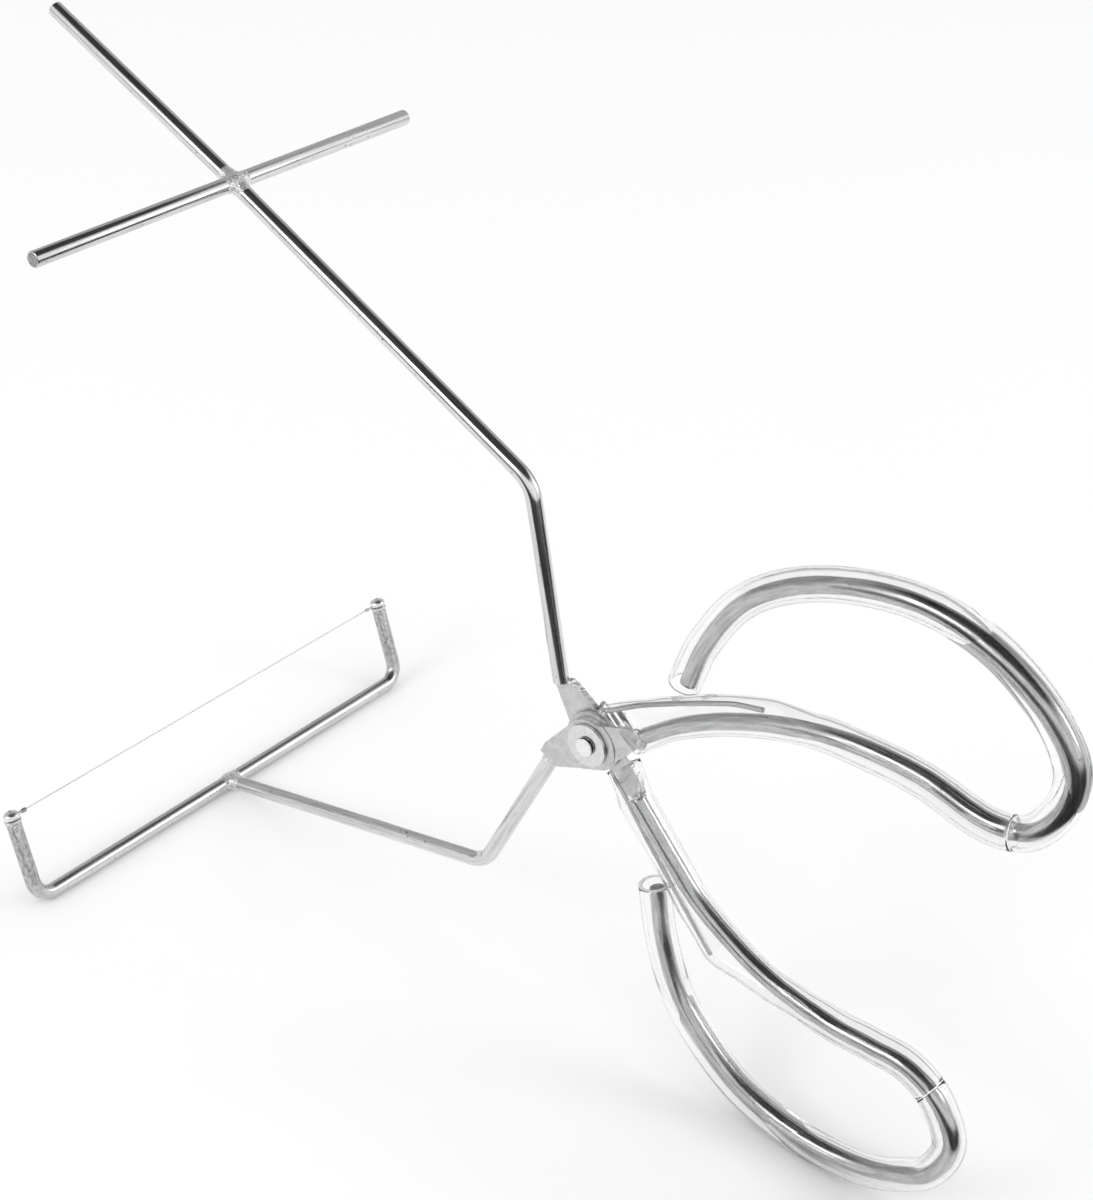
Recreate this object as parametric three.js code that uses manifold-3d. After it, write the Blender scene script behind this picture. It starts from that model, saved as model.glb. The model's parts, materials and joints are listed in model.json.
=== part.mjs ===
// Spring-loaded scissor tongs bent and welded from steel rod, for dipping a pot in glaze.
// One half carries a cross of rod on its jaw, the other a bow strung with a fine wire.
// Each half has a finger loop of rod with clear plastic tube pushed over it.
// Millimetres. +X runs to the finger loops, +Y away from the front plate, +Z up.
// Everything is modelled about the pivot, then set down with its feet on z = 0.
import * as THREE from 'three';
import { mergeVertices } from 'three/addons/utils/BufferGeometryUtils.js';
import Module from 'manifold-3d';

// Rod
const ROD_DIAMETER = 5;
const ROD_BEND_RADIUS = 12;
const WELD_GAP = 0.3;
const WELD_BEAD = 0.5;

// Jaw that carries the cross: two straight stretches seen from the front
const CROSS_JAW_START = [-14.5, 13.9];
const CROSS_JAW_RISE = { length: 64, angle: 107.6 };
const CROSS_JAW_REACH = { length: 131.3, angle: 158 };
const CROSS_TIP = { length: 84, angle: 159.4 };
const CROSS_BAR_FRONT = 79;
const CROSS_BAR_BACK = 77;
const CROSS_WELD_DIAMETER = 8.4;

// Jaw that carries the bow
const BOW_JAW_START = [-13.7, -13.3];
const BOW_JAW_DROP = { length: 59.6, angle: 249.5 };
const BOW_JAW_REACH = { length: 118.2, angle: 196.2 };
const BOW_WIDTH = 176;
const BOW_BEND_RADIUS = 6.5;
const BOW_LEG = { length: 27.8, angle: 113.9 };
const BOW_WELD_DIAMETER = 7.6;
const BOW_WELD_SETBACK = 3.5;

// Screws that hold the cutting wire on the bow
const SCREW_HEAD_DIAMETER = 5.8;
const SCREW_HEAD_HEIGHT = 2.5;
const SCREW_SHANK_DIAMETER = 2.4;
const SCREW_SHANK_LENGTH = 6;
const SCREW_HOLE_CLEARANCE = 0.2;
const SCREW_SLOT_WIDTH = 0.8;
const SCREW_SLOT_LENGTH = 3.4;
const SCREW_SLOT_DEPTH = 1.1;
const SCREW_SLOT_TURN = 36;
const SCREW_RIM_SHARE = 0.35;
const SCREW_WASHER_DIAMETER = 5.7;
const SCREW_WASHER_THICKNESS = 0.9;
const WIRE_DIAMETER = 0.4;
const WIRE_CLEARANCE = 0.15;
const CRIMP_DIAMETER = 1.5;
const CRIMP_LENGTH = 1.7;
const CRIMP_FROM_SCREW = 5.2;
const HOOK_TURN = 290;
const HOOK_STEPS = 10;

// Pivot: plate, spacer, plate, then the spring and a washer on one rivet
const PLATE_THICKNESS = 2;
const PLATE_HUB_DIAMETER = 16.6;
const PAD_DIAMETER = 19.4;
const PAD_RISE = 0.3;
const SPACER_THICKNESS = 1.4;
const RUNNING_GAP = 0.1;
const SHANK_DIAMETER = 4.4;
const RIVET_HEAD_DIAMETER = 6;
const RIVET_HEAD_RISE = 1;
const RIVET_TAIL_DIAMETER = 6.8;
const RIVET_TAIL_RISE = 1.2;
const RIVET_EDGE = 0.25;
const FRONT_WASHER_DIAMETER = 14;
const BACK_WASHER_DIAMETER = 11.6;
const WASHER_THICKNESS = 1;

// Torsion spring, its legs inside the tubes on the finger loops
const SPRING_WIRE = 1.6;
const SPRING_RADIUS = 5.2;
const SPRING_FULL_TURNS = 2;
const SPRING_PITCH = 2.05;
const SPRING_STEPS = 8;
const SPRING_GAP = 0.3;

// Finger loops, as points of the rod's centre line seen from the front
const UPPER_LOOP = [
  [17.3, 11.6], [28.3, 21.5], [41, 30.3], [60, 39.6], [81.8, 45.9], [104.5, 47.4],
  [126.6, 44.5], [137.9, 48.1], [144.9, 59.2], [145.2, 72.2], [136.6, 83.7], [117.6, 94.6],
  [96.8, 97.9], [75.2, 93.6], [54.9, 83.5], [41.3, 70.7], [32.2, 52.2], [28.7, 37.4],
];
const LOWER_LOOP = [
  [18, -11.7], [33.7, -26.1], [43.6, -34.7], [56.7, -42], [73, -48.2], [96.3, -51.1],
  [108.9, -50.4], [121.4, -50], [132.8, -55.3], [140.5, -67.6], [136.8, -82.3], [127.9, -89.7],
  [115.2, -95.8], [93.5, -98.8], [71.9, -95], [55.4, -85.2], [43.8, -74], [35.6, -58.3],
  [30, -39.3],
];

// Clear tube pushed over each loop
const TUBE_BORE = 7.6;
const TUBE_WALL = 1.2;
const TUBE_OVERHANG = 1.2;
const TUBE_JOINT_GAP = 0.3;
const TUBE_SLACK = 0.3;
const STRETCHED_WALL = 0.8;
const MOUTH_WALL = 0.5;
const UPPER_TUBE_JOINT = 127;
const LOWER_TUBE_JOINT = 124.5;
const MOUTH_HOLD = 4.5;
const THROAT_START = 0.8;

// Where the stretched tube is measured along each loop, with its far edge beside the spring leg and
// how far its near edge stands off the rod
const UPPER_MOUTH = {
  start: 6.5, near: 4.4, far: 10.9, farHeld: 10.5, legAcross: 0.35, slant: 0.37, slantHeld: 0.3,
};
const UPPER_STRETCH = [
  { along: 9, off: 0.4, far: 8.2 }, { along: 19, off: 0.8, far: 6.8 },
  { along: 28, off: 1, far: 6.4 }, { along: 48, off: 1.1, far: 5.9 },
];
const UPPER_THROAT = { off: 1.2, far: 9.9 };
const THROAT_ACROSS = 0.1;
const LOWER_MOUTH = { start: 10.4, near: 6.9, nearHeld: 5.6, far: 7, farHeld: 6.4, legAcross: 3.1 };
const LOWER_THROAT = { off: 1.6, far: 5.7 };
const LOWER_STRETCH = [
  { along: 20, off: 1.3, far: 5.2 }, { along: 28, off: 1, far: 5.9 }, { along: 39.5, off: 0.3, far: 7.9 },
  { along: 51, off: 0.2, far: 11.2 }, { along: 54, off: 0.2, far: 9.8 }, { along: 60, off: 0.1, far: 7 },
  { along: 68, off: 0.2, far: 5.4 }, { along: 78, off: 1.2, far: 3.5 },
];

// Where the tube is round, how far the rod lies towards its outer side, or its inner side below 0
const UPPER_ROUND = [
  [64, 0.2], [80, -0.95], [120, -0.95], [145, 0.75], [165, 0.75], [200, -0.3], [280, -0.4], [320, -0.95],
];
const LOWER_ROUND = [
  [88, -0.4], [100, -0.9], [115, -0.8], [138, 0.75], [155, 0.75], [185, -0.9], [235, -0.9],
  [270, -0.4], [300, -0.95],
];

// Spring legs: where each leaves the coil's own plane, seen from the front, then [x, y, z] outwards
const UPPER_LEG_EXIT = [-1, 11.2];
const UPPER_LEG = [
  [-0.3, 2, 12], [1.8, 0.1, 12.7], [4.4, -0.4, 14.1], [13.5, 0, 20.6],
  [26.9, 0, 28.8], [39.7, 0, 35.9], [44.9, 0, 38.5], [54.3, 0, 41.6],
];
const LOWER_LEG_EXIT = [3.2, -7.1];
const LOWER_LEG = [
  [5.1, 3.9, -8.2], [6.6, 2.5, -9.4], [15.4, 1, -16.3], [23.3, 0.2, -23.5], [35.6, 0, -35.3], [52.4, 0, -51.8],
];

// Plate corners that no rod sets, seen from the front
const FRONT_PLATE_JAW_SHOULDERS = [[-15.6, -8], [-6, 5.7], [5, -6.6]];
const FRONT_PLATE_LOOP_SHOULDERS = [[2, 8.1], [11.4, 12.3], [12.4, 1.8], [7.4, -3.8]];
const BACK_PLATE_JAW_SHOULDERS = [[-8, 13.6], [1.3, 8.7], [-7.9, -2.4]];
const BACK_PLATE_LOOP_SHOULDERS = [[5.4, -6.3], [13.6, -13.2], [17.2, -5.6], [7.9, 2.6]];
const PLATE_JAW_END = 7;
const PLATE_LOOP_END = 4;

// Sides of the round pieces, and the longest turn and step between rings of a bent one
const ROD_SIDES = 12;
const TUBE_SIDES = 12;
const WIRE_SIDES = 6;
const SPRING_SIDES = 5;
const ROUND_SEGMENTS = 24;
const DOME_STEPS = 6;
const KNEE_ANGLE = 82;
const KNEE_PLACE = 0.5;
const TURN_STEP = THREE.MathUtils.degToRad(12);
const LONGEST_STEP = 14;
const WALK = 0.5;

const STEEL = { color: 0xc9cacb, roughness: 0.22, metalness: 1 };
const PLATE_STEEL = { color: 0xb9babb, roughness: 0.42, metalness: 1 };
const WELD_STEEL = { color: 0x9fa0a1, roughness: 0.6, metalness: 1 };
const FASTENER_STEEL = { color: 0xd5d6d7, roughness: 0.18, metalness: 1 };
const SPRING_STEEL = { color: 0xa3a4a6, roughness: 0.35, metalness: 1 };
const CLEAR_PLASTIC = { color: 0xeef1f2, roughness: 0.08, metalness: 0, transparent: true, opacity: 0.3 };

const ROD_RADIUS = ROD_DIAMETER / 2;
const FRONT = new THREE.Vector3(0, -1, 0);
const BACK = new THREE.Vector3(0, 1, 0);

const wasm = await Module();
wasm.setup();

function toSolid(geometry) {
  const plain = geometry.clone();
  plain.deleteAttribute('normal');
  plain.deleteAttribute('uv');
  const merged = mergeVertices(plain, 1e-4);
  return new wasm.Manifold(new wasm.Mesh({
    numProp: 3,
    vertProperties: Float32Array.from(merged.attributes.position.array),
    triVerts: Uint32Array.from(merged.index.array),
  }));
}

function toGeometry(solid) {
  const mesh = solid.getMesh();
  const geometry = new THREE.BufferGeometry();
  geometry.setAttribute('position', new THREE.BufferAttribute(mesh.vertProperties, 3));
  geometry.setIndex(new THREE.BufferAttribute(mesh.triVerts, 1));
  geometry.computeVertexNormals();
  return geometry;
}

function join(first, ...others) {
  return toGeometry(others.reduce((solid, other) => solid.add(toSolid(other)), toSolid(first)));
}

function cut(first, ...others) {
  return toGeometry(others.reduce((solid, other) => solid.subtract(toSolid(other)), toSolid(first)));
}

// Directions and places in the plane seen from the front
function heading(degrees) {
  const angle = THREE.MathUtils.degToRad(degrees);
  return new THREE.Vector3(Math.cos(angle), 0, Math.sin(angle));
}

function spot([x, z], y = 0) {
  return new THREE.Vector3(x, y, z);
}

function onward(from, stretch) {
  return from.clone().addScaledVector(heading(stretch.angle), stretch.length);
}

// A route gives the place and direction at any distance along it, and its breaks are the
// distances where a straight stretch meets a bend
function splineRoute(points) {
  const curve = new THREE.CatmullRomCurve3(points, false, 'centripetal');
  curve.arcLengthDivisions = points.length * 40;
  const length = curve.getLength();
  const at = (distance) => {
    const share = THREE.MathUtils.clamp(distance / length, 0, 1);
    const tangent = curve.getTangentAt(share);
    const point = curve.getPointAt(share).addScaledVector(tangent, distance - share * length);
    return { point, tangent };
  };
  return { length, at, breaks: [] };
}

function bentRoute(corners, radius) {
  const pieces = [];
  let place = corners[0];
  for (let i = 1; i < corners.length - 1; i += 1) {
    const inward = corners[i].clone().sub(corners[i - 1]).normalize();
    const outward = corners[i + 1].clone().sub(corners[i]).normalize();
    const turn = inward.angleTo(outward);
    const setback = radius * Math.tan(turn / 2);
    const start = corners[i].clone().addScaledVector(inward, -setback);
    const middle = outward.clone().sub(inward).normalize();
    const centre = corners[i].clone().addScaledVector(middle, radius / Math.cos(turn / 2));
    pieces.push({ length: start.distanceTo(place), start: place, direction: inward });
    pieces.push({ length: radius * turn, start, direction: inward, centre });
    place = corners[i].clone().addScaledVector(outward, setback);
  }
  const end = corners[corners.length - 1];
  const direction = end.clone().sub(place).normalize();
  pieces.push({ length: end.distanceTo(place), start: place, direction });
  const breaks = [];
  let length = 0;
  for (const piece of pieces) {
    piece.from = length;
    length += piece.length;
    breaks.push(length);
  }
  const at = (distance) => {
    const piece = pieces.find((p) => distance <= p.from + p.length) ?? pieces[pieces.length - 1];
    const local = distance - piece.from;
    if (!piece.centre) {
      const point = piece.start.clone().addScaledVector(piece.direction, local);
      return { point, tangent: piece.direction.clone() };
    }
    const spoke = piece.start.clone().sub(piece.centre);
    const axis = spoke.clone().cross(piece.direction).normalize();
    const turned = local / radius;
    return {
      point: spoke.applyAxisAngle(axis, turned).add(piece.centre),
      tangent: piece.direction.clone().applyAxisAngle(axis, turned),
    };
  };
  return { length, at, breaks: breaks.slice(0, -1) };
}

// Distances along a route where a swept piece has a ring of points: at every fixed place, and
// between these wherever the route has turned, or run straight, for long enough
function ringDistances(route, from, to, extra = [], longest = Infinity) {
  const inside = [...route.breaks, ...extra].filter((d) => d > from && d < to);
  const fixed = [...inside, to].sort((a, b) => a - b).filter((d, i, all) => i === 0 || d > all[i - 1]);
  const distances = [from];
  for (const stop of fixed) {
    const start = distances[distances.length - 1];
    let turn = 0;
    for (let d = start; d < stop; d += WALK) {
      turn += route.at(d).tangent.angleTo(route.at(Math.min(d + WALK, stop)).tangent);
    }
    const parts = Math.max(Math.ceil(turn / TURN_STEP), Math.ceil((stop - start) / longest), 1);
    for (let i = 1; i < parts; i += 1) {
      distances.push(start + ((stop - start) * i) / parts);
    }
    distances.push(stop);
  }
  return distances;
}

// Frames for a route in one plane: side lies in the plane, up is the plane's normal
function flatFrames(route, distances, up) {
  return distances.map((distance) => {
    const { point, tangent } = route.at(distance);
    return { point, tangent, up, side: up.clone().cross(tangent), distance };
  });
}

// Frames for a route through space, turned as little as possible from one to the next
function spaceFrames(stations) {
  let side = null;
  return stations.map(({ point, tangent }) => {
    const along = tangent.clone().normalize();
    const lead = side ?? new THREE.Vector3(0.3, 1, 0.2);
    side = lead.clone().addScaledVector(along, -lead.dot(along)).normalize();
    return { point, tangent: along, side, up: along.clone().cross(side) };
  });
}

function polygon(radius, sides, phase = 0) {
  const points = [];
  for (let i = 0; i < sides; i += 1) {
    const angle = phase + ((i + 0.5) * 2 * Math.PI) / sides;
    points.push(new THREE.Vector2(radius * Math.cos(angle), radius * Math.sin(angle)));
  }
  return points;
}

// A section extruded in one step for each frame, then each ring moved onto its frame
function sweep(section, frames, fit = (x, y) => ({ x, y, back: 0 })) {
  const steps = frames.length - 1;
  const geometry = new THREE.ExtrudeGeometry(section, { depth: steps, steps, bevelEnabled: false });
  const position = geometry.attributes.position;
  for (let i = 0; i < position.count; i += 1) {
    const frame = frames[Math.round(position.getZ(i))];
    const { x, y, back } = fit(position.getX(i), position.getY(i), frame);
    const point = frame.point.clone().addScaledVector(frame.side, x).addScaledVector(frame.up, y);
    point.addScaledVector(frame.tangent, -back);
    position.setXYZ(i, point.x, point.y, point.z);
  }
  geometry.computeVertexNormals();
  return geometry;
}

function rodAlong(route, up, from, to, radius = ROD_RADIUS, phase = 0) {
  const frames = flatFrames(route, ringDistances(route, from, to), up);
  return sweep(new THREE.Shape(polygon(radius, ROD_SIDES, phase)), frames);
}

function straightRod(from, to, up, radius = ROD_RADIUS, phase = 0) {
  const route = bentRoute([from, to], 0);
  return rodAlong(route, up, 0, route.length, radius, phase);
}

// A disc or ring round a line through origin along direction, from one distance to another
function disc(origin, direction, from, to, radius, bore = 0) {
  const profile = bore > 0
    ? [[bore, from], [radius, from], [radius, to], [bore, to], [bore, from]]
    : [[0, from], [radius, from], [radius, to], [0, to]];
  return lathe(origin, direction, profile);
}

function lathe(origin, direction, profile) {
  const points = profile.map(([radius, height]) => new THREE.Vector2(radius, height));
  const geometry = new THREE.LatheGeometry(points, ROUND_SEGMENTS);
  geometry.applyQuaternion(new THREE.Quaternion().setFromUnitVectors(new THREE.Vector3(0, 1, 0), direction));
  geometry.translate(origin.x, origin.y, origin.z);
  return geometry;
}

const tongs = new THREE.Group();

function addPiece(name, geometry, look) {
  const mesh = new THREE.Mesh(geometry, new THREE.MeshStandardMaterial(look));
  mesh.name = name;
  tongs.add(mesh);
}

// Routes of the two jaws
const crossJawStart = spot(CROSS_JAW_START);
const crossJawCorner = onward(crossJawStart, CROSS_JAW_RISE);
const crossCentre = onward(crossJawCorner, CROSS_JAW_REACH);
const crossTipEnd = onward(crossCentre, CROSS_TIP);
const crossJawRoute = bentRoute([crossJawStart, crossJawCorner, crossCentre], ROD_BEND_RADIUS);
const bowJawStart = spot(BOW_JAW_START);
const bowJawCorner = onward(bowJawStart, BOW_JAW_DROP);
const bowCentre = onward(bowJawCorner, BOW_JAW_REACH);
const bowJawRoute = bentRoute([bowJawStart, bowJawCorner, bowCentre], ROD_BEND_RADIUS);

// Cross: the bar lies across the jaw's end, and the tip rod carries on past it
const CROSS_SEAT = ROD_RADIUS + WELD_GAP;
const crossBarFront = crossCentre.clone().setY(-CROSS_BAR_FRONT);
const crossBarBack = crossCentre.clone().setY(CROSS_BAR_BACK);
const barUp = heading(0);
const crossBar = straightRod(crossBarFront, crossBarBack, barUp);
const crossBarSeat = straightRod(crossBarFront, crossBarBack, barUp, CROSS_SEAT);
const crossJaw = cut(rodAlong(crossJawRoute, FRONT, 0, crossJawRoute.length), crossBarSeat);
const crossTip = cut(straightRod(crossCentre, crossTipEnd, FRONT), crossBarSeat);
addPiece('cross_jaw_rod', crossJaw, STEEL);
addPiece('cross_tip_rod', crossTip, STEEL);
addPiece('cross_bar', crossBar, STEEL);

// A weld's lump before it is cut back from the rods that it joins: round, and low over the rods
function weldBlank(centre, diameter, angle) {
  const blank = new THREE.SphereGeometry(diameter / 2, 16, 10);
  blank.scale(1, 1, (CROSS_SEAT + WELD_BEAD) / (diameter / 2));
  blank.rotateY(THREE.MathUtils.degToRad(180 - angle));
  blank.translate(centre.x, centre.y, centre.z);
  return blank;
}

const crossWeld = cut(
  weldBlank(crossCentre, CROSS_WELD_DIAMETER, CROSS_JAW_REACH.angle),
  crossBarSeat,
  rodAlong(crossJawRoute, FRONT, 0, crossJawRoute.length, CROSS_SEAT),
  straightRod(crossCentre, crossTipEnd, FRONT, CROSS_SEAT),
);
addPiece('cross_weld', crossWeld, WELD_STEEL);

// Bow: a bar across the jaw's end with two legs, one flat of its section facing the floor
const legDirection = heading(BOW_LEG.angle);
const bowFront = bowCentre.clone().setY(-BOW_WIDTH / 2);
const bowBack = bowCentre.clone().setY(BOW_WIDTH / 2);
const bowRoute = bentRoute([
  onward(bowFront, BOW_LEG), bowFront, bowBack, onward(bowBack, BOW_LEG),
], BOW_BEND_RADIUS);
const bowNormal = legDirection.clone().cross(BACK);
const floorAngle = THREE.MathUtils.degToRad(BOW_LEG.angle - 90);
const bowRod = rodAlong(bowRoute, bowNormal, 0, bowRoute.length, ROD_RADIUS, floorAngle);
const bowSeat = straightRod(bowFront, bowBack, bowNormal, CROSS_SEAT, floorAngle);
const bowJaw = cut(rodAlong(bowJawRoute, BACK, 0, bowJawRoute.length), bowSeat);
addPiece('bow_jaw_rod', bowJaw, STEEL);

const bowWeldCentre = bowCentre.clone().addScaledVector(heading(BOW_JAW_REACH.angle), -BOW_WELD_SETBACK);
const bowWeld = cut(
  weldBlank(bowWeldCentre, BOW_WELD_DIAMETER, BOW_JAW_REACH.angle),
  bowSeat,
  rodAlong(bowJawRoute, BACK, 0, bowJawRoute.length, CROSS_SEAT),
);
addPiece('bow_weld', bowWeld, WELD_STEEL);

// Screws at the bow's leg ends: washer, then the wire's hook, then the head
const washerFoot = WELD_GAP / 2;
const washerTop = washerFoot + SCREW_WASHER_THICKNESS;
const wireLevel = washerTop + WIRE_CLEARANCE + WIRE_DIAMETER / 2;
const headFoot = wireLevel + WIRE_DIAMETER / 2 + WIRE_CLEARANCE;
const headTop = headFoot + SCREW_HEAD_HEIGHT;
const shankRadius = SCREW_SHANK_DIAMETER / 2;
const holeRadius = shankRadius + SCREW_HOLE_CLEARANCE;

function screwGeometry(seat) {
  const head = [[0, -SCREW_SHANK_LENGTH], [shankRadius, -SCREW_SHANK_LENGTH], [shankRadius, headFoot]];
  const rim = headFoot + SCREW_HEAD_HEIGHT * SCREW_RIM_SHARE;
  for (let i = 0; i <= DOME_STEPS; i += 1) {
    const angle = (i / DOME_STEPS) * (Math.PI / 2);
    const height = rim + (headTop - rim) * Math.sin(angle);
    if (i === 0) head.push([SCREW_HEAD_DIAMETER / 2, headFoot]);
    head.push([(SCREW_HEAD_DIAMETER / 2) * Math.cos(angle), height]);
  }
  head[head.length - 1][0] = 0;
  const solid = lathe(seat, legDirection, head);
  const slots = [0, Math.PI / 2].map((turn) => {
    const slot = new THREE.BoxGeometry(SCREW_SLOT_LENGTH, SCREW_SLOT_DEPTH * 2, SCREW_SLOT_WIDTH);
    slot.rotateY(turn + THREE.MathUtils.degToRad(SCREW_SLOT_TURN));
    slot.translate(0, headTop, 0);
    slot.applyQuaternion(new THREE.Quaternion().setFromUnitVectors(new THREE.Vector3(0, 1, 0), legDirection));
    slot.translate(seat.x, seat.y, seat.z);
    return slot;
  });
  return cut(solid, ...slots);
}

const screwSeats = { front: onward(bowFront, BOW_LEG), back: onward(bowBack, BOW_LEG) };
const screwHoles = Object.values(screwSeats).map((seat) => (
  disc(seat, legDirection, -SCREW_SHANK_LENGTH - SCREW_HOLE_CLEARANCE, ROD_RADIUS, holeRadius)
));
addPiece('bow_frame', cut(bowRod, ...screwHoles), STEEL);
for (const [end, seat] of Object.entries(screwSeats)) {
  addPiece(`${end}_wire_screw`, screwGeometry(seat), FASTENER_STEEL);
  const washer = disc(seat, legDirection, washerFoot, washerTop, SCREW_WASHER_DIAMETER / 2, holeRadius);
  addPiece(`${end}_screw_washer`, washer, FASTENER_STEEL);
}

// Cutting wire: hooked round both screws, straight between them
const hookRadius = shankRadius + WIRE_CLEARANCE + WIRE_DIAMETER / 2;
const hookTurn = THREE.MathUtils.degToRad(HOOK_TURN);

function wireStations() {
  const outward = bowNormal;
  const along = BACK;
  const hook = (seat, from, to) => {
    const centre = seat.clone().addScaledVector(legDirection, wireLevel);
    const stations = [];
    for (let i = 0; i <= HOOK_STEPS; i += 1) {
      const angle = THREE.MathUtils.lerp(from, to, i / HOOK_STEPS);
      const spoke = outward.clone().multiplyScalar(Math.cos(angle)).addScaledVector(along, Math.sin(angle));
      const tangent = outward.clone().multiplyScalar(-Math.sin(angle)).addScaledVector(along, Math.cos(angle));
      if (to < from) tangent.negate();
      stations.push({ point: centre.clone().addScaledVector(spoke, hookRadius), tangent });
    }
    return stations;
  };
  return [
    ...hook(screwSeats.front, -hookTurn, 0),
    ...hook(screwSeats.back, 0, hookTurn),
  ];
}

const wireSection = new THREE.Shape(polygon(WIRE_DIAMETER / 2, WIRE_SIDES));
addPiece('cutting_wire', sweep(wireSection, spaceFrames(wireStations())), FASTENER_STEEL);
const crimpStart = screwSeats.front.clone()
  .addScaledVector(legDirection, wireLevel)
  .addScaledVector(bowNormal, hookRadius);
const crimpBore = WIRE_DIAMETER / 2 + WIRE_CLEARANCE;
const crimpEnd = CRIMP_FROM_SCREW + CRIMP_LENGTH;
const crimp = disc(crimpStart, BACK, CRIMP_FROM_SCREW, crimpEnd, CRIMP_DIAMETER / 2, crimpBore);
addPiece('wire_crimp', crimp, FASTENER_STEEL);

// Pivot stack, as distances behind the rods' plane
const plateNear = SPACER_THICKNESS / 2 + RUNNING_GAP;
const plateFar = plateNear + PLATE_THICKNESS;
const padFace = plateFar + PAD_RISE;
const frontWasherNear = padFace + RUNNING_GAP;
const frontWasherFar = frontWasherNear + WASHER_THICKNESS;
const springFront = plateFar + SPRING_GAP + SPRING_WIRE / 2;
const pivotBore = SHANK_DIAMETER / 2 + RUNNING_GAP;

// Routes of the two finger loops
const upperRoute = splineRoute(UPPER_LOOP.map((point) => spot(point)));
const lowerRoute = splineRoute(LOWER_LOOP.map((point) => spot(point)));

// A plate: a hub with an arm to the jaw's rod and an arm to the loop's rod
function plateEnd(route, width) {
  const { point, tangent } = route.at(0);
  const middle = point.clone().addScaledVector(tangent, -WELD_GAP);
  const side = new THREE.Vector3(-tangent.z, 0, tangent.x);
  return [1, -1].map((way) => {
    const corner = middle.clone().addScaledVector(side, (way * width) / 2);
    return [corner.x, corner.z];
  });
}

function plateArm(corners, near, far) {
  const average = (axis) => corners.reduce((sum, corner) => sum + corner[axis], 0) / corners.length;
  const [centreX, centreZ] = [average(0), average(1)];
  const bearing = ([x, z]) => Math.atan2(z - centreZ, x - centreX);
  const outline = [...corners].sort((a, b) => bearing(a) - bearing(b));
  const shape = new THREE.Shape(outline.map(([x, z]) => new THREE.Vector2(x, z)));
  const geometry = new THREE.ExtrudeGeometry(shape, { depth: far - near, bevelEnabled: false });
  geometry.rotateX(Math.PI / 2);
  geometry.translate(0, far, 0);
  return geometry;
}

const origin = new THREE.Vector3();
const hubRadius = PLATE_HUB_DIAMETER / 2;
const pivotHole = disc(origin, BACK, -padFace - ROD_RADIUS, padFace + ROD_RADIUS, pivotBore);
const frontJawCorners = [...FRONT_PLATE_JAW_SHOULDERS, ...plateEnd(bowJawRoute, PLATE_JAW_END)];
const frontLoopCorners = [...FRONT_PLATE_LOOP_SHOULDERS, ...plateEnd(upperRoute, PLATE_LOOP_END)];
const frontOutline = (near, far) => join(
  disc(origin, BACK, near, far, hubRadius),
  plateArm(frontJawCorners, near, far),
  plateArm(frontLoopCorners, near, far),
);
const frontPad = toGeometry(
  toSolid(frontOutline(-padFace, -plateNear))
    .intersect(toSolid(disc(origin, BACK, -padFace - PAD_RISE, 0, PAD_DIAMETER / 2))),
);
addPiece('front_plate', cut(join(frontOutline(-plateFar, -plateNear), frontPad), pivotHole), PLATE_STEEL);

const backJawCorners = [...BACK_PLATE_JAW_SHOULDERS, ...plateEnd(crossJawRoute, PLATE_JAW_END)];
const backLoopCorners = [...BACK_PLATE_LOOP_SHOULDERS, ...plateEnd(lowerRoute, PLATE_LOOP_END)];
const backPlate = join(
  disc(origin, BACK, plateNear, plateFar, hubRadius),
  plateArm(backJawCorners, plateNear, plateFar),
  plateArm(backLoopCorners, plateNear, plateFar),
);
addPiece('back_plate', cut(backPlate, pivotHole), PLATE_STEEL);

const spacer = disc(origin, BACK, -SPACER_THICKNESS / 2, SPACER_THICKNESS / 2, PAD_DIAMETER / 2, pivotBore);
addPiece('pivot_spacer', spacer, PLATE_STEEL);
const frontWasher = disc(
  origin, FRONT, frontWasherNear, frontWasherFar, FRONT_WASHER_DIAMETER / 2, pivotBore,
);
addPiece('front_washer', frontWasher, FASTENER_STEEL);

// Torsion spring: down the upper leg, round the rivet, out along the lower leg
function springStations() {
  const touch = ([x, z], way) => Math.atan2(z, x) + way * Math.acos(SPRING_RADIUS / Math.hypot(x, z));
  const start = touch(UPPER_LEG_EXIT, 1);
  const part = THREE.MathUtils.euclideanModulo(start - touch(LOWER_LEG_EXIT, -1), 2 * Math.PI);
  const turns = SPRING_FULL_TURNS + part / (2 * Math.PI);
  const steps = Math.round(turns * SPRING_STEPS);
  const coil = [];
  for (let i = 0; i <= steps; i += 1) {
    const angle = start - (turns * 2 * Math.PI * i) / steps;
    const depth = springFront + (SPRING_PITCH * turns * i) / steps;
    coil.push(new THREE.Vector3(SPRING_RADIUS * Math.cos(angle), depth, SPRING_RADIUS * Math.sin(angle)));
  }
  const points = [
    ...UPPER_LEG.map(([x, y, z]) => new THREE.Vector3(x, y, z)).reverse(),
    spot(UPPER_LEG_EXIT, springFront),
    ...coil,
    spot(LOWER_LEG_EXIT, springFront + SPRING_PITCH * turns),
    ...LOWER_LEG.map(([x, y, z]) => new THREE.Vector3(x, y, z)),
  ];
  return points.map((point, i) => {
    const before = points[Math.max(i - 1, 0)];
    const after = points[Math.min(i + 1, points.length - 1)];
    const inward = point.clone().sub(before).normalize();
    const outward = after.clone().sub(point).normalize();
    return { point, tangent: inward.add(outward).normalize() };
  });
}

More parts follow.
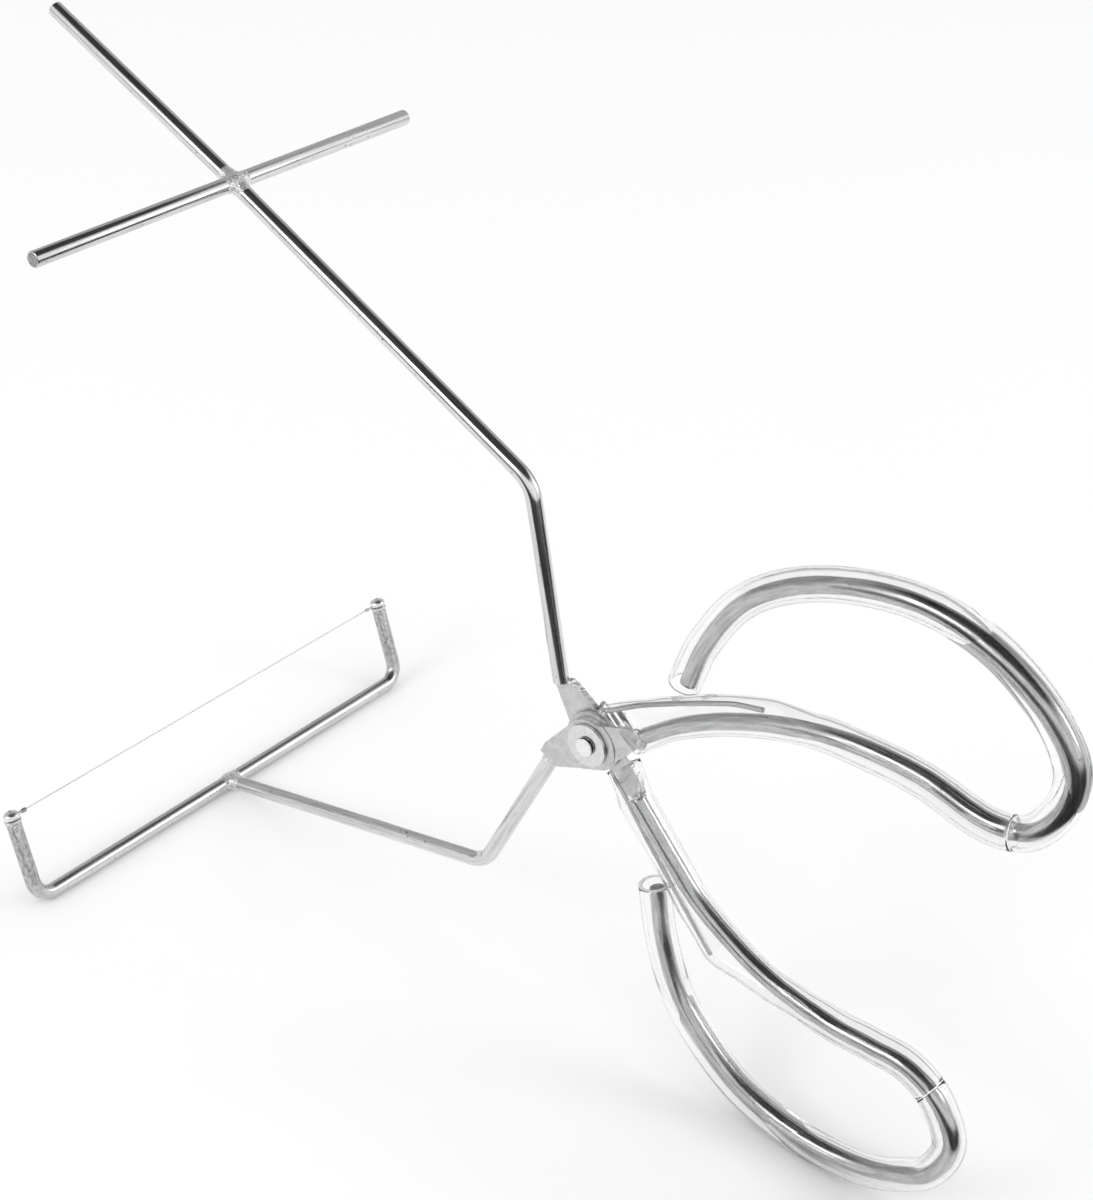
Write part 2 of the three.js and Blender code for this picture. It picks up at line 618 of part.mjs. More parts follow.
function leastSelfGap(stations, diameter) {
  const beads = [];
  for (let i = 0; i < stations.length - 1; i += 1) {
    for (let share = 0; share < 1; share += 0.25) {
      beads.push(stations[i].point.clone().lerp(stations[i + 1].point, share));
    }
  }
  const clear = Math.ceil(SPRING_STEPS * 4 * 0.4);
  let least = Infinity;
  for (let i = 0; i < beads.length; i += 1) {
    for (let j = i + clear; j < beads.length; j += 1) {
      least = Math.min(least, beads[i].distanceTo(beads[j]));
    }
  }
  return least - diameter;
}

const springRoute = springStations();
const springSection = new THREE.Shape(polygon(SPRING_WIRE / 2, SPRING_SIDES));
addPiece('pivot_spring', sweep(springSection, spaceFrames(springRoute)), SPRING_STEEL);
console.log(`pivot_spring: least gap to itself ${leastSelfGap(springRoute, SPRING_WIRE).toFixed(2)} mm`);

// Rivet through the stack, with a washer behind the coil
const coilBack = Math.max(...springRoute.map(({ point }) => point.y)) + SPRING_WIRE / 2;
const backWasherNear = coilBack + SPRING_GAP;
const backWasherFar = backWasherNear + WASHER_THICKNESS;
const tailFace = backWasherFar + RUNNING_GAP;
const headFace = frontWasherFar + RUNNING_GAP;
const backWasher = disc(origin, BACK, backWasherNear, backWasherFar, BACK_WASHER_DIAMETER / 2, pivotBore);
addPiece('back_washer', backWasher, FASTENER_STEEL);
addPiece('pivot_rivet', lathe(origin, FRONT, [
  [0, -tailFace - RIVET_TAIL_RISE],
  [RIVET_TAIL_DIAMETER / 2 - RIVET_EDGE, -tailFace - RIVET_TAIL_RISE],
  [RIVET_TAIL_DIAMETER / 2, -tailFace - RIVET_TAIL_RISE + RIVET_EDGE],
  [RIVET_TAIL_DIAMETER / 2, -tailFace],
  [SHANK_DIAMETER / 2, -tailFace],
  [SHANK_DIAMETER / 2, headFace],
  [RIVET_HEAD_DIAMETER / 2, headFace],
  [RIVET_HEAD_DIAMETER / 2, headFace + RIVET_HEAD_RISE - RIVET_EDGE],
  [RIVET_HEAD_DIAMETER / 2 - RIVET_EDGE, headFace + RIVET_HEAD_RISE],
  [0, headFace + RIVET_HEAD_RISE],
]), FASTENER_STEEL);

// Tube's size and place along a loop, from the rod's start. low and high are the tube's edges,
// measured from the rod's centre line towards the loop's inside. across and acrossHigh are the
// tube's middle, measured square to the loop, beside the rod and beside the spring leg. half is
// half its thickness that way. slant is how far its cut leans back for each millimetre inwards.
const besideRod = ROD_RADIUS + TUBE_SLACK + STRETCHED_WALL;
const besidePlate = PLATE_THICKNESS / 2 + TUBE_SLACK + MOUTH_WALL;
const overPlate = plateNear + PLATE_THICKNESS / 2 + TUBE_SLACK / 2;
const overBoth = besideRod + TUBE_SLACK;
const legRoom = SPRING_WIRE + TUBE_SLACK;
const tubeRadius = TUBE_BORE / 2 + TUBE_WALL;
const play = TUBE_BORE / 2 - ROD_RADIUS - TUBE_SLACK;

const mouthFit = {
  across: overPlate, acrossHigh: overPlate, half: besidePlate, wall: MOUTH_WALL, slant: 0,
};
const throatFit = {
  across: THROAT_ACROSS, acrossHigh: THROAT_ACROSS, half: overBoth, wall: STRETCHED_WALL, slant: 0,
};
const stretchedFit = { across: 0, acrossHigh: 0, half: besideRod, wall: STRETCHED_WALL, slant: 0 };
const roundFit = { across: 0, acrossHigh: 0, half: tubeRadius, wall: TUBE_WALL, slant: 0 };

function stretchedAt({ along, off, far }) {
  return { ...stretchedFit, along, low: -besideRod - off, high: far + legRoom };
}

function roundAt([along, share]) {
  return { ...roundFit, along, low: share * play - tubeRadius, high: share * play + tubeRadius };
}

const upperTube = [
  {
    ...mouthFit, along: -UPPER_MOUTH.start, low: -UPPER_MOUTH.near, high: UPPER_MOUTH.far + legRoom,
    acrossHigh: UPPER_MOUTH.legAcross, slant: UPPER_MOUTH.slant,
  },
  {
    ...mouthFit, along: -MOUTH_HOLD, low: -UPPER_MOUTH.near, high: UPPER_MOUTH.farHeld + legRoom,
    acrossHigh: UPPER_MOUTH.legAcross, slant: UPPER_MOUTH.slantHeld,
  },
  {
    ...throatFit, along: -THROAT_START, low: -besideRod - UPPER_THROAT.off,
    high: UPPER_THROAT.far + legRoom,
  },
  ...UPPER_STRETCH.map(stretchedAt),
  ...UPPER_ROUND.map(roundAt),
];
const lowerTube = [
  {
    ...mouthFit, along: -LOWER_MOUTH.start, low: -LOWER_MOUTH.near, high: LOWER_MOUTH.far + legRoom,
    acrossHigh: LOWER_MOUTH.legAcross,
  },
  {
    ...mouthFit, along: -MOUTH_HOLD, low: -LOWER_MOUTH.nearHeld, high: LOWER_MOUTH.farHeld + legRoom,
  },
  {
    ...throatFit, along: -THROAT_START, low: -besideRod - LOWER_THROAT.off,
    high: LOWER_THROAT.far + legRoom,
  },
  ...LOWER_STRETCH.map(stretchedAt),
  ...LOWER_ROUND.map(roundAt),
];

function fitAt(keys, distance) {
  const next = keys.findIndex((key) => key.along > distance);
  if (next === 0) return keys[0];
  if (next < 0) return keys[keys.length - 1];
  const [before, after] = [keys[next - 1], keys[next]];
  const share = THREE.MathUtils.smoothstep(distance, before.along, after.along);
  const mix = (name) => [name, THREE.MathUtils.lerp(before[name], after[name], share)];
  return Object.fromEntries(Object.keys(before).map(mix));
}

// The tube's section: a ring of points, with one more on each flat side where the side may bend
const kneeAngle = THREE.MathUtils.degToRad(KNEE_ANGLE);

function tubeOutline(radius) {
  const points = polygon(radius, TUBE_SIDES);
  const knees = [kneeAngle, -kneeAngle].map((angle) => (
    new THREE.Vector2(radius * Math.cos(angle), radius * Math.sin(angle))
  ));
  return [...points, ...knees].sort((a, b) => a.angle() - b.angle());
}

function tubeThrough(frames, keys) {
  const section = new THREE.Shape(tubeOutline(1));
  section.holes.push(new THREE.Path(tubeOutline(0.5)));
  return sweep(section, frames, (x, y, frame) => {
    const fit = fitAt(keys, frame.distance);
    const wall = Math.hypot(x, y) > 0.75 ? 0 : fit.wall;
    const angle = Math.atan2(y, x);
    const half = fit.half - wall;
    const centre = (fit.high + fit.low) / 2;
    const flat = (fit.high - fit.low) / 2 - fit.half;
    const knee = Math.abs(Math.abs(angle) - kneeAngle) < 0.01;
    const place = knee ? KNEE_PLACE : Math.sign(x);
    const inward = centre + place * flat + half * Math.cos(angle);
    const across = place === 1 ? fit.acrossHigh : fit.across;
    return { x: inward, y: across + half * Math.sin(angle), back: fit.slant * (inward - centre) };
  });
}

function addLoop(name, route, up, keys, joint) {
  const mouth = keys[0].along;
  const end = route.length + TUBE_OVERHANG;
  const joints = [joint - TUBE_JOINT_GAP / 2, joint + TUBE_JOINT_GAP / 2];
  const fixed = [0, route.length, ...joints, ...keys.map((key) => key.along)];
  const rings = ringDistances(route, mouth, end, fixed, LONGEST_STEP);
  const between = (from, to) => flatFrames(route, rings.filter((d) => d >= from && d <= to), up);
  const rod = new THREE.Shape(polygon(ROD_RADIUS, ROD_SIDES));
  addPiece(`${name}_loop_rod`, sweep(rod, between(0, route.length)), STEEL);
  addPiece(`${name}_tube_inner`, tubeThrough(between(mouth, joints[0]), keys), CLEAR_PLASTIC);
  addPiece(`${name}_tube_outer`, tubeThrough(between(joints[1], end), keys), CLEAR_PLASTIC);
}

addLoop('upper', upperRoute, FRONT, upperTube, UPPER_TUBE_JOINT);
addLoop('lower', lowerRoute, BACK, lowerTube, LOWER_TUBE_JOINT);

// Set down: middle of the box at x = 0 and y = 0, feet at z = 0
const box = new THREE.Box3().setFromObject(tongs);
const middle = box.getCenter(new THREE.Vector3());
tongs.position.set(-middle.x, -middle.y, -box.min.z);

export default tongs;
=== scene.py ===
"""Glaze tongs: sprung dipping tongs bent and welded from bright steel rod, with a cross of rod on one
jaw, a bow strung with fine wire on the other, and clear tube pushed over both finger loops.
Sizes are millimetres about the pivot, seen from the front, and become metres in the shared frame."""
import bisect
import json
import math
import bpy
import bmesh
from mathutils import Matrix, Vector, kdtree, noise


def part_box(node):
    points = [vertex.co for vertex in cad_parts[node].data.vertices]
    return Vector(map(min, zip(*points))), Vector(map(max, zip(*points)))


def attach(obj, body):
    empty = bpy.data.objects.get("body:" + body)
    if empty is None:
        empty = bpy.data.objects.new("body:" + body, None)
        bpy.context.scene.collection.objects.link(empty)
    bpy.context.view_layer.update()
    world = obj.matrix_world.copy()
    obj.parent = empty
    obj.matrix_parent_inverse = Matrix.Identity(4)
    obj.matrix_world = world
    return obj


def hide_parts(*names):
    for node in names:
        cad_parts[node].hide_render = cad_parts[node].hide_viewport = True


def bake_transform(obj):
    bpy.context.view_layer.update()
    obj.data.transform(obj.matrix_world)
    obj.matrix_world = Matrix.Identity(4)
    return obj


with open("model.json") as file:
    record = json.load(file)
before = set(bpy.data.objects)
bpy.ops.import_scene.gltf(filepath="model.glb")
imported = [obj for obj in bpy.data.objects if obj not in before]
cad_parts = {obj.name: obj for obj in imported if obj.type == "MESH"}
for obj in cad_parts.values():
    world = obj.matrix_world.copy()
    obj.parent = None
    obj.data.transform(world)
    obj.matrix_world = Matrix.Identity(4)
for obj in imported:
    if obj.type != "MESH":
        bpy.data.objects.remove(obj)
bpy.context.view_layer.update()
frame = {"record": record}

MM = 0.001
PIVOT = Vector(frame["record"]["behaviour"]["joints"][0]["pos_m"])
FRONT = Vector((0, -1, 0))
BACK = Vector((0, 1, 0))


def place(x, y, z):
    """A point given in millimetres from the pivot."""
    return PIVOT + Vector((x, y, z)) * MM


def heading(degrees):
    angle = math.radians(degrees)
    return Vector((math.cos(angle), 0, math.sin(angle)))


# Routes

class Route:
    """A centre line: points close together, and the place and direction at any distance along it."""

    def __init__(self, points):
        self.points = points
        self.along = [0.0]
        for a, b in zip(points, points[1:]):
            self.along.append(self.along[-1] + (b - a).length)
        self.length = self.along[-1]
        self.tree = kdtree.KDTree(len(points))
        for index, spot in enumerate(points):
            self.tree.insert(spot, index)
        self.tree.balance()

    def at(self, distance):
        low = min(max(bisect.bisect_right(self.along, distance) - 1, 0), len(self.points) - 2)
        a, b = self.points[low], self.points[low + 1]
        tangent = (b - a).normalized()
        before = self.points[max(low - 1, 0)]
        after = self.points[min(low + 2, len(self.points) - 1)]
        step = self.along[low + 1] - self.along[low]
        share = min(max((distance - self.along[low]) / step, 0), 1)
        soft = (b - before).normalized().lerp((after - a).normalized(), share).normalized()
        return a + tangent * (distance - self.along[low]), soft

    def nearest(self, point):
        """Distance along the route, and the direction there, nearest to a point."""
        index = self.tree.find(point)[1]
        tangent = (self.points[min(index + 1, len(self.points) - 1)]
                   - self.points[max(index - 1, 0)]).normalized()
        return self.along[index] + (point - self.points[index]).dot(tangent), self.points[index], tangent


def bent_points(corners, radius, step=0.6 * MM):
    """Straight stretches joined by bends of one radius."""
    points = [corners[0]]
    for before, corner, after in zip(corners, corners[1:], corners[2:]):
        inward, outward = (corner - before).normalized(), (after - corner).normalized()
        turn = inward.angle(outward)
        setback = radius * math.tan(turn / 2)
        axis = inward.cross(outward).normalized()
        start = corner - inward * setback
        centre = start + axis.cross(inward) * radius
        steps = max(int(radius * turn / step), 4)
        for index in range(steps + 1):
            points.append(centre + Matrix.Rotation(turn * index / steps, 3, axis) @ (start - centre))
    points.append(corners[-1])
    dense = [points[0]]
    for a, b in zip(points, points[1:]):
        count = max(int((b - a).length / step), 1)
        dense += [a.lerp(b, index / count) for index in range(1, count + 1)]
    return dense


def blended(a, b, from_t, to_t, t):
    """Between a at from_t and b at to_t."""
    return a * ((to_t - t) / (to_t - from_t)) + b * ((t - from_t) / (to_t - from_t))


def spline_points(points, step=0.6 * MM):
    """A smooth line through points, with even speed between them."""
    ends = [points[0] * 2 - points[1], *points, points[-1] * 2 - points[-2]]
    dense = []
    for p0, p1, p2, p3 in zip(ends, ends[1:], ends[2:], ends[3:]):
        t0 = 0.0
        t1 = t0 + (p1 - p0).length ** 0.5
        t2 = t1 + (p2 - p1).length ** 0.5
        t3 = t2 + (p3 - p2).length ** 0.5
        count = max(int((p2 - p1).length / step), 2)
        for index in range(count):
            t = t1 + (t2 - t1) * index / count
            a2 = blended(p1, p2, t1, t2, t)
            b1 = blended(blended(p0, p1, t0, t1, t), a2, t0, t2, t)
            b2 = blended(a2, blended(p2, p3, t2, t3, t), t1, t3, t)
            dense.append(blended(b1, b2, t1, t2, t))
    dense.append(points[-1])
    return dense


ROD = 2.5 * MM
ROD_BEND = 12 * MM
BOW_BEND = 6.5 * MM

# Straight runs of rod: headings in degrees, lengths in millimetres
CROSS_JAW_RISE = (107.6, 64)
CROSS_JAW_REACH = (158, 131.3)
CROSS_TIP = (159.4, 84)
CROSS_BAR_FRONT = 79
CROSS_BAR_BACK = 77
BOW_JAW_DROP = (249.5, 59.6)
BOW_JAW_REACH = (196.2, 118.2)
BOW_HALF = 88
BOW_LEG = (113.9, 27.8)


def run(start, way, length):
    """The far end of a straight run of rod."""
    return start + heading(way) * length * MM


cross_start = place(-14.5, 0, 13.9)
cross_corner = run(cross_start, *CROSS_JAW_RISE)
cross_centre = run(cross_corner, *CROSS_JAW_REACH)
cross_tip = run(cross_centre, *CROSS_TIP)
cross_bar_front = cross_centre + FRONT * CROSS_BAR_FRONT * MM
cross_bar_back = cross_centre + BACK * CROSS_BAR_BACK * MM

bow_start = place(-13.7, 0, -13.3)
bow_corner = run(bow_start, *BOW_JAW_DROP)
bow_centre = run(bow_corner, *BOW_JAW_REACH)
bow_front = bow_centre + FRONT * BOW_HALF * MM
bow_back = bow_centre + BACK * BOW_HALF * MM
seat_front = run(bow_front, *BOW_LEG)
seat_back = run(bow_back, *BOW_LEG)
LEG = heading(BOW_LEG[0])
bow_normal = LEG.cross(BACK)

UPPER_LOOP = [
    (17.3, 11.6), (28.3, 21.5), (41, 30.3), (60, 39.6), (81.8, 45.9), (104.5, 47.4),
    (126.6, 44.5), (137.9, 48.1), (144.9, 59.2), (145.2, 72.2), (136.6, 83.7), (117.6, 94.6),
    (96.8, 97.9), (75.2, 93.6), (54.9, 83.5), (41.3, 70.7), (32.2, 52.2), (28.7, 37.4),
]
LOWER_LOOP = [
    (18, -11.7), (33.7, -26.1), (43.6, -34.7), (56.7, -42), (73, -48.2), (96.3, -51.1),
    (108.9, -50.4), (121.4, -50), (132.8, -55.3), (140.5, -67.6), (136.8, -82.3), (127.9, -89.7),
    (115.2, -95.8), (93.5, -98.8), (71.9, -95), (55.4, -85.2), (43.8, -74), (35.6, -58.3),
    (30, -39.3),
]
upper_route = Route(spline_points([place(x, 0, z) for x, z in UPPER_LOOP]))
lower_route = Route(spline_points([place(x, 0, z) for x, z in LOWER_LOOP]))


# Modelling helpers

def pick(*pieces):
    """Selects these pieces and nothing else, the first one active."""
    if bpy.context.object and bpy.context.object.mode != "OBJECT":
        bpy.ops.object.mode_set(mode="OBJECT")
    bpy.ops.object.select_all(action="DESELECT")
    for piece in pieces:
        piece.select_set(True)
    if pieces:
        bpy.context.view_layer.objects.active = pieces[0]


def add_shape(add, placing=None, along=None, **settings):
    """A new shape of Blender's own, its place and turn put into its mesh."""
    pick()
    if along:
        settings["rotation"] = along.to_track_quat("Z", "Y").to_euler()
    add(**settings)
    piece = bpy.context.object
    if placing:
        piece.matrix_world = placing
    pick(piece)
    bpy.ops.object.transform_apply(location=True, rotation=True, scale=True)
    return piece


def add_cylinder(at, along, radius, low, high, sides=48):
    """A cylinder along an axis, from low to high, in millimetres."""
    radius, low, high = radius * MM, low * MM, high * MM
    return add_shape(bpy.ops.mesh.primitive_cylinder_add, along=along, vertices=sides, radius=radius,
                     depth=high - low, location=at + along * (low + high) / 2)


def apply_modifier(piece, kind, **settings):
    pick(piece)
    modifier = piece.modifiers.new(kind.title(), kind)
    for name, value in settings.items():
        setattr(modifier, name, value)
    bpy.ops.object.modifier_apply(modifier=modifier.name)


def combine(piece, other, operation):
    """Joins another shape to a piece, or cuts the piece with it, and uses the other shape up."""
    apply_modifier(piece, "BOOLEAN", operation=operation, object=other, solver="EXACT")
    bpy.data.objects.remove(other)


def select_where(piece, kind, test):
    """In edit mode, selects the faces or edges that pass a test."""
    pick(piece)
    bpy.ops.object.mode_set(mode="EDIT")
    bpy.ops.mesh.select_mode(type="FACE" if kind == "faces" else "EDGE")
    bpy.ops.mesh.select_all(action="DESELECT")
    mesh = bmesh.from_edit_mesh(piece.data)
    for item in getattr(mesh, kind):
        if test(item):
            item.select_set(True)
    bmesh.update_edit_mesh(piece.data)


def edit_all(piece):
    """Edit mode with the whole mesh selected. pick() leaves it again."""
    select_where(piece, "faces", lambda face: True)


def turn_faces_out(piece):
    edit_all(piece)
    bpy.ops.mesh.normals_make_consistent(inside=False)


def extrude(way):
    bpy.ops.mesh.extrude_region_move(TRANSFORM_OT_translate={"value": way})


def bevel_edges(piece, width, segments, test):
    select_where(piece, "edges", test)
    bpy.ops.mesh.bevel(offset=width, segments=segments, affect="EDGES", clamp_overlap=True)


def sharp(edge, degrees=35):
    return len(edge.link_faces) == 2 and edge.calc_face_angle(0) > math.radians(degrees)


def smooth(piece, degrees=38):
    pick(piece)
    bpy.ops.object.shade_smooth_by_angle(angle=math.radians(degrees))


def break_edges(piece, width):
    """A fine round on every sharp edge, in millimetres, with the flats left flat to the light."""
    bevel_edges(piece, width * MM, 3, lambda edge: sharp(edge, 50))
    smooth(piece, 40)
    apply_modifier(piece, "WEIGHTED_NORMAL", keep_sharp=True)


def lattice(name, rings, closed=False):
    """A skin over rings of points. closed joins the last ring to the first, and else both are capped."""
    mesh = bmesh.new()
    rows = [[mesh.verts.new(point) for point in ring] for ring in rings]
    pairs = list(zip(rows, rows[1:])) + ([(rows[-1], rows[0])] if closed else [])
    for low, high in pairs:
        for index in range(len(low)):
            other = (index + 1) % len(low)
            mesh.faces.new((low[index], low[other], high[other], high[index]))
    if not closed:
        for row in (rows[0], rows[-1]):
            centre = sum((vert.co for vert in row), Vector()) / len(row)
            hub = mesh.verts.new(centre)
            for index in range(len(row)):
                mesh.faces.new((row[index], row[(index + 1) % len(row)], hub))
    bmesh.ops.recalc_face_normals(mesh, faces=mesh.faces)
    data = bpy.data.meshes.new(name)
    mesh.to_mesh(data)
    mesh.free()
    piece = bpy.data.objects.new(name, data)
    bpy.context.scene.collection.objects.link(piece)
    return piece


def unroll(piece, route, radius, up=None):
    """UV map along a route: u is millimetres round the piece, v millimetres along it."""
    layer = piece.data.uv_layers.new(name="unrolled")
    turn = math.tau * radius / MM
    for polygon in piece.data.polygons:
        spots = []
        for index in polygon.vertices:
            point = piece.data.vertices[index].co
            distance, centre, tangent = route.nearest(point)
            side = (up if up else Vector((0.31, 0.9, 0.2))).cross(tangent).normalized()
            spoke = point - centre
            angle = math.atan2(spoke.dot(tangent.cross(side)), spoke.dot(side))
            spots.append([angle / math.tau * turn, distance / MM])
        first = spots[0][0]
        for loop, spot in zip(polygon.loop_indices, spots):
            if spot[0] - first > turn / 2:
                spot[0] -= turn
            elif first - spot[0] > turn / 2:
                spot[0] += turn
            layer.data[loop].uv = spot


def dress(piece, name, body, slot, material, *nodes):
    """Names a finished piece, hangs it on the body that carries it, gives it its material and hides the
    model's parts that it stands for.
    """
    piece.name = name
    piece.data.name = name
    piece.data.materials.clear()
    piece.data.materials.append(material)
    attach(piece, body)
    if nodes:
        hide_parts(*nodes)


def paint_where(piece, material, test):
    """Gives the faces that pass a test another material."""
    piece.data.materials.append(material)
    for face in piece.data.polygons:
        if test(face):
            face.material_index = len(piece.data.materials) - 1


def paint_ends(piece, ends, material):
    """Gives the flat faces at each end (point, direction) another material."""
    paint_where(piece, material, lambda face: any(
        abs(face.normal.dot(way)) > 0.97 and abs((face.center - point).dot(way)) < 1 * MM
        and (face.center - point).length < 9 * MM for point, way in ends))


# Materials

class Value:
    """A shader socket on which Python's own signs add the maths."""

    def __init__(self, tree, socket):
        self.tree = tree
        self.socket = socket

    def maths(self, operation, *others, swap=False):
        values = [self, *others]
        if swap:
            values.reverse()
        node = self.tree.nodes.new("ShaderNodeMath")
        node.operation = operation
        for index, value in enumerate(values):
            feed(self.tree, node.inputs[index], value)
        return Value(self.tree, node.outputs[0])

    def __add__(self, other):
        return self.maths("ADD", other)

    __radd__ = __add__

    def __sub__(self, other):
        return self.maths("SUBTRACT", other)

    def __rsub__(self, other):
        return self.maths("SUBTRACT", other, swap=True)

    def __mul__(self, other):
        return self.maths("MULTIPLY", other)

    __rmul__ = __mul__

    def between(self, low, high):
        """0 up to low, 1 from high, smooth between."""
        share = signal(self.tree, "ShaderNodeMapRange", "Result", Value=self, From_Min=low, From_Max=high)
        share.socket.node.interpolation_type = "SMOOTHSTEP"
        return share


def feed(tree, socket, value):
    """Links a value to a socket, or sets it there."""
    if isinstance(value, Value):
        tree.links.new(value.socket, socket)
    else:
        socket.default_value = value


def fill(tree, node, **inputs):
    """Values or links for a node's sockets, by their names."""
    for name, value in inputs.items():
        feed(tree, node.inputs[name.replace("_", " ")], value)
    return node


def signal(tree, kind, output, **inputs):
    """A new node's output, with its sockets filled."""
    return Value(tree, fill(tree, tree.nodes.new(kind), **inputs).outputs[output])


def scaled(tree, source, scale):
    """Coordinates stretched by a different amount on each axis."""
    return signal(tree, "ShaderNodeMapping", "Vector", Vector=source, Scale=scale)


def cloud(tree, source, size, detail, rough):
    """Soft noise, its size one number or one for each axis."""
    if isinstance(size, tuple):
        source, size = scaled(tree, source, size), 1
    return signal(tree, "ShaderNodeTexNoise", "Fac", Vector=source, Scale=size, Detail=detail,
                  Roughness=rough)


def grey(tree, dark, light, share):
    """A colour between two, each a tint or a colour made before."""
    node = tree.nodes.new("ShaderNodeMix")
    node.data_type = "RGBA"
    feed(tree, node.inputs["Factor"], share)
    for name, colour in (("A", dark), ("B", light)):
        feed(tree, node.inputs[name], colour if isinstance(colour, Value) else (*colour, 1))
    return Value(tree, node.outputs["Result"])


def new_material(name, uses_uv):
    """An empty material, its tree and shader, and coordinates in millimetres."""
    material = bpy.data.materials.new(name)
    material.use_nodes = True
    tree = material.node_tree
    tree.nodes.clear()
    surface = signal(tree, "ShaderNodeBsdfPrincipled", "BSDF")
    fill(tree, tree.nodes.new("ShaderNodeOutputMaterial"), Surface=surface)
    if uses_uv:
        source = signal(tree, "ShaderNodeUVMap", "UV")
        source.socket.node.uv_map = "unrolled"
    else:
        source = scaled(tree, signal(tree, "ShaderNodeTexCoord", "Object"), (1 / MM,) * 3)
    return material, tree, surface.socket.node, source


def bump(tree, shader, height):
    """Raises the surface by a height in millimetres."""
    fill(tree, shader, Normal=signal(tree, "ShaderNodeBump", "Normal", Height=height, Distance=MM))


# Repeats of a pattern in a millimetre: round, along and out of a rod, or on X, Y and Z
GRAIN = (9, 0.12, 9)
LONG_SMUDGES = (0.9, 0.035, 0.9)
FLECKS = (1.6, 0.8, 1.6)
MOTTLE = (0.9, 0.5, 0.9)
PIT_SPACING = 0.42
PIT_TINT = (0.1, 0.1, 0.1)


def tint(level, blue=0.0):
    """A grey, plain or a little blue."""
    return level, level + blue, level + 2 * blue


def metal(name, dark, light, rough, grain, blue=0.0, uses_uv=False, pits=0.0, ripple=0.0,
          smudges=LONG_SMUDGES, bright=1.0, darker_ends=None):
    """Bright steel: drawn grain along it, smudges, and a few dark pits. When the last argument is given, it
    is the length of a rod whose colour turns darker and mottled over the last 17 to 36 millimetres at each
    end."""
    material, tree, shader, source = new_material(name, uses_uv)
    lines = cloud(tree, source, GRAIN, 4, 0.6)
    smudge = cloud(tree, source, smudges, 5, 0.65)
    shade = grey(tree, tint(dark, blue), tint(light, blue), (smudge * 0.6 + lines * 0.4).between(0.3, 0.66))
    if pits:
        spots = signal(tree, "ShaderNodeTexVoronoi", "Distance", Vector=source, Scale=PIT_SPACING)
        fleck = cloud(tree, source, FLECKS, 2, 0.5).between(0.52, 0.6)
        pit = (1 - spots.between(0.1, 0.24)) * fleck * pits
        shade = grey(tree, shade, PIT_TINT, pit)
    # Darker and mottled towards both ends of the rod
    if darker_ends:
        along = signal(tree, "ShaderNodeSeparateXYZ", "Y", Vector=source)
        from_end = along.maths("MINIMUM", darker_ends - along)
        mottle = cloud(tree, source, MOTTLE, 5, 0.7)
        darker = grey(tree, tint(0.28, 0.002), tint(0.6, 0.002), mottle.between(0.32, 0.66))
        shade = grey(tree, darker, shade, from_end.between(17, 36))
    fill(tree, shader, Base_Color=shade, Metallic=bright,
         Roughness=lines * 0.1 + smudge * 0.16 + (rough - 0.13))
    height = lines * grain + smudge * (grain * 1.5)
    if ripple:
        height = height + cloud(tree, source, 0.9, 3, 0.5) * ripple
    bump(tree, shader, height)
    return material


SOFT_TUBE_IOR = 1.45


def clear_tube():
    """Clear soft tube: painted shade makes it faintly grey where it is seen edge on. It has shallow waves
    from the extruder and a few scuffs."""
    material, tree, shader, source = new_material("clear_tube", True)
    waves = cloud(tree, source, (0.5, 0.08, 1), 3, 0.5)
    scuff = cloud(tree, source, (2.2, 0.5, 1), 5, 0.7)
    edge_shade_share = signal(tree, "ShaderNodeLayerWeight", "Facing", Blend=0.5)
    # Painted shade: the tube's colour greys where it is seen edge on
    body = grey(tree, (0.985, 0.988, 0.99), (0.5, 0.505, 0.51), edge_shade_share.between(0.55, 1.0))
    fill(tree, shader, Base_Color=body, Transmission_Weight=1, IOR=SOFT_TUBE_IOR,
         Roughness=scuff.between(0.5, 0.75) * 0.12 + 0.015)
    bump(tree, shader, waves * 0.05 + scuff * 0.006)
    return material


def cut_tube(name, painted_glow):
    """The tube's cut ends, frosted by the knife. The glow argument is painted light: an emission standing
    in for the light that the tube's wall carries to a cut inside it."""
    material, tree, shader, source = new_material(name, True)
    streak = cloud(tree, source, (2.5, 2.5, 1), 4, 0.6)
    frost = grey(tree, (0.72, 0.73, 0.73), (0.97, 0.975, 0.98), streak.between(0.35, 0.65))
    fill(tree, shader, Base_Color=frost, Transmission_Weight=0.2, IOR=SOFT_TUBE_IOR, Roughness=0.5,
         Emission_Color=(1, 1, 1, 1), Emission_Strength=painted_glow)
    bump(tree, shader, streak * 0.1)
    return material


BLUE = 0.003
DRAWN = {"grain": 0.006, "blue": BLUE, "uses_uv": True}
BOW_LENGTH = 2 * (BOW_LEG[1] + BOW_HALF) - (4 - math.pi) * BOW_BEND / MM
ROD_STEEL = metal("rod_steel", 0.46, 0.8, 0.17, pits=0.85, **DRAWN)
BOW_STEEL = metal("bow_steel", 0.46, 0.8, 0.24, pits=0.85, darker_ends=BOW_LENGTH, **DRAWN)
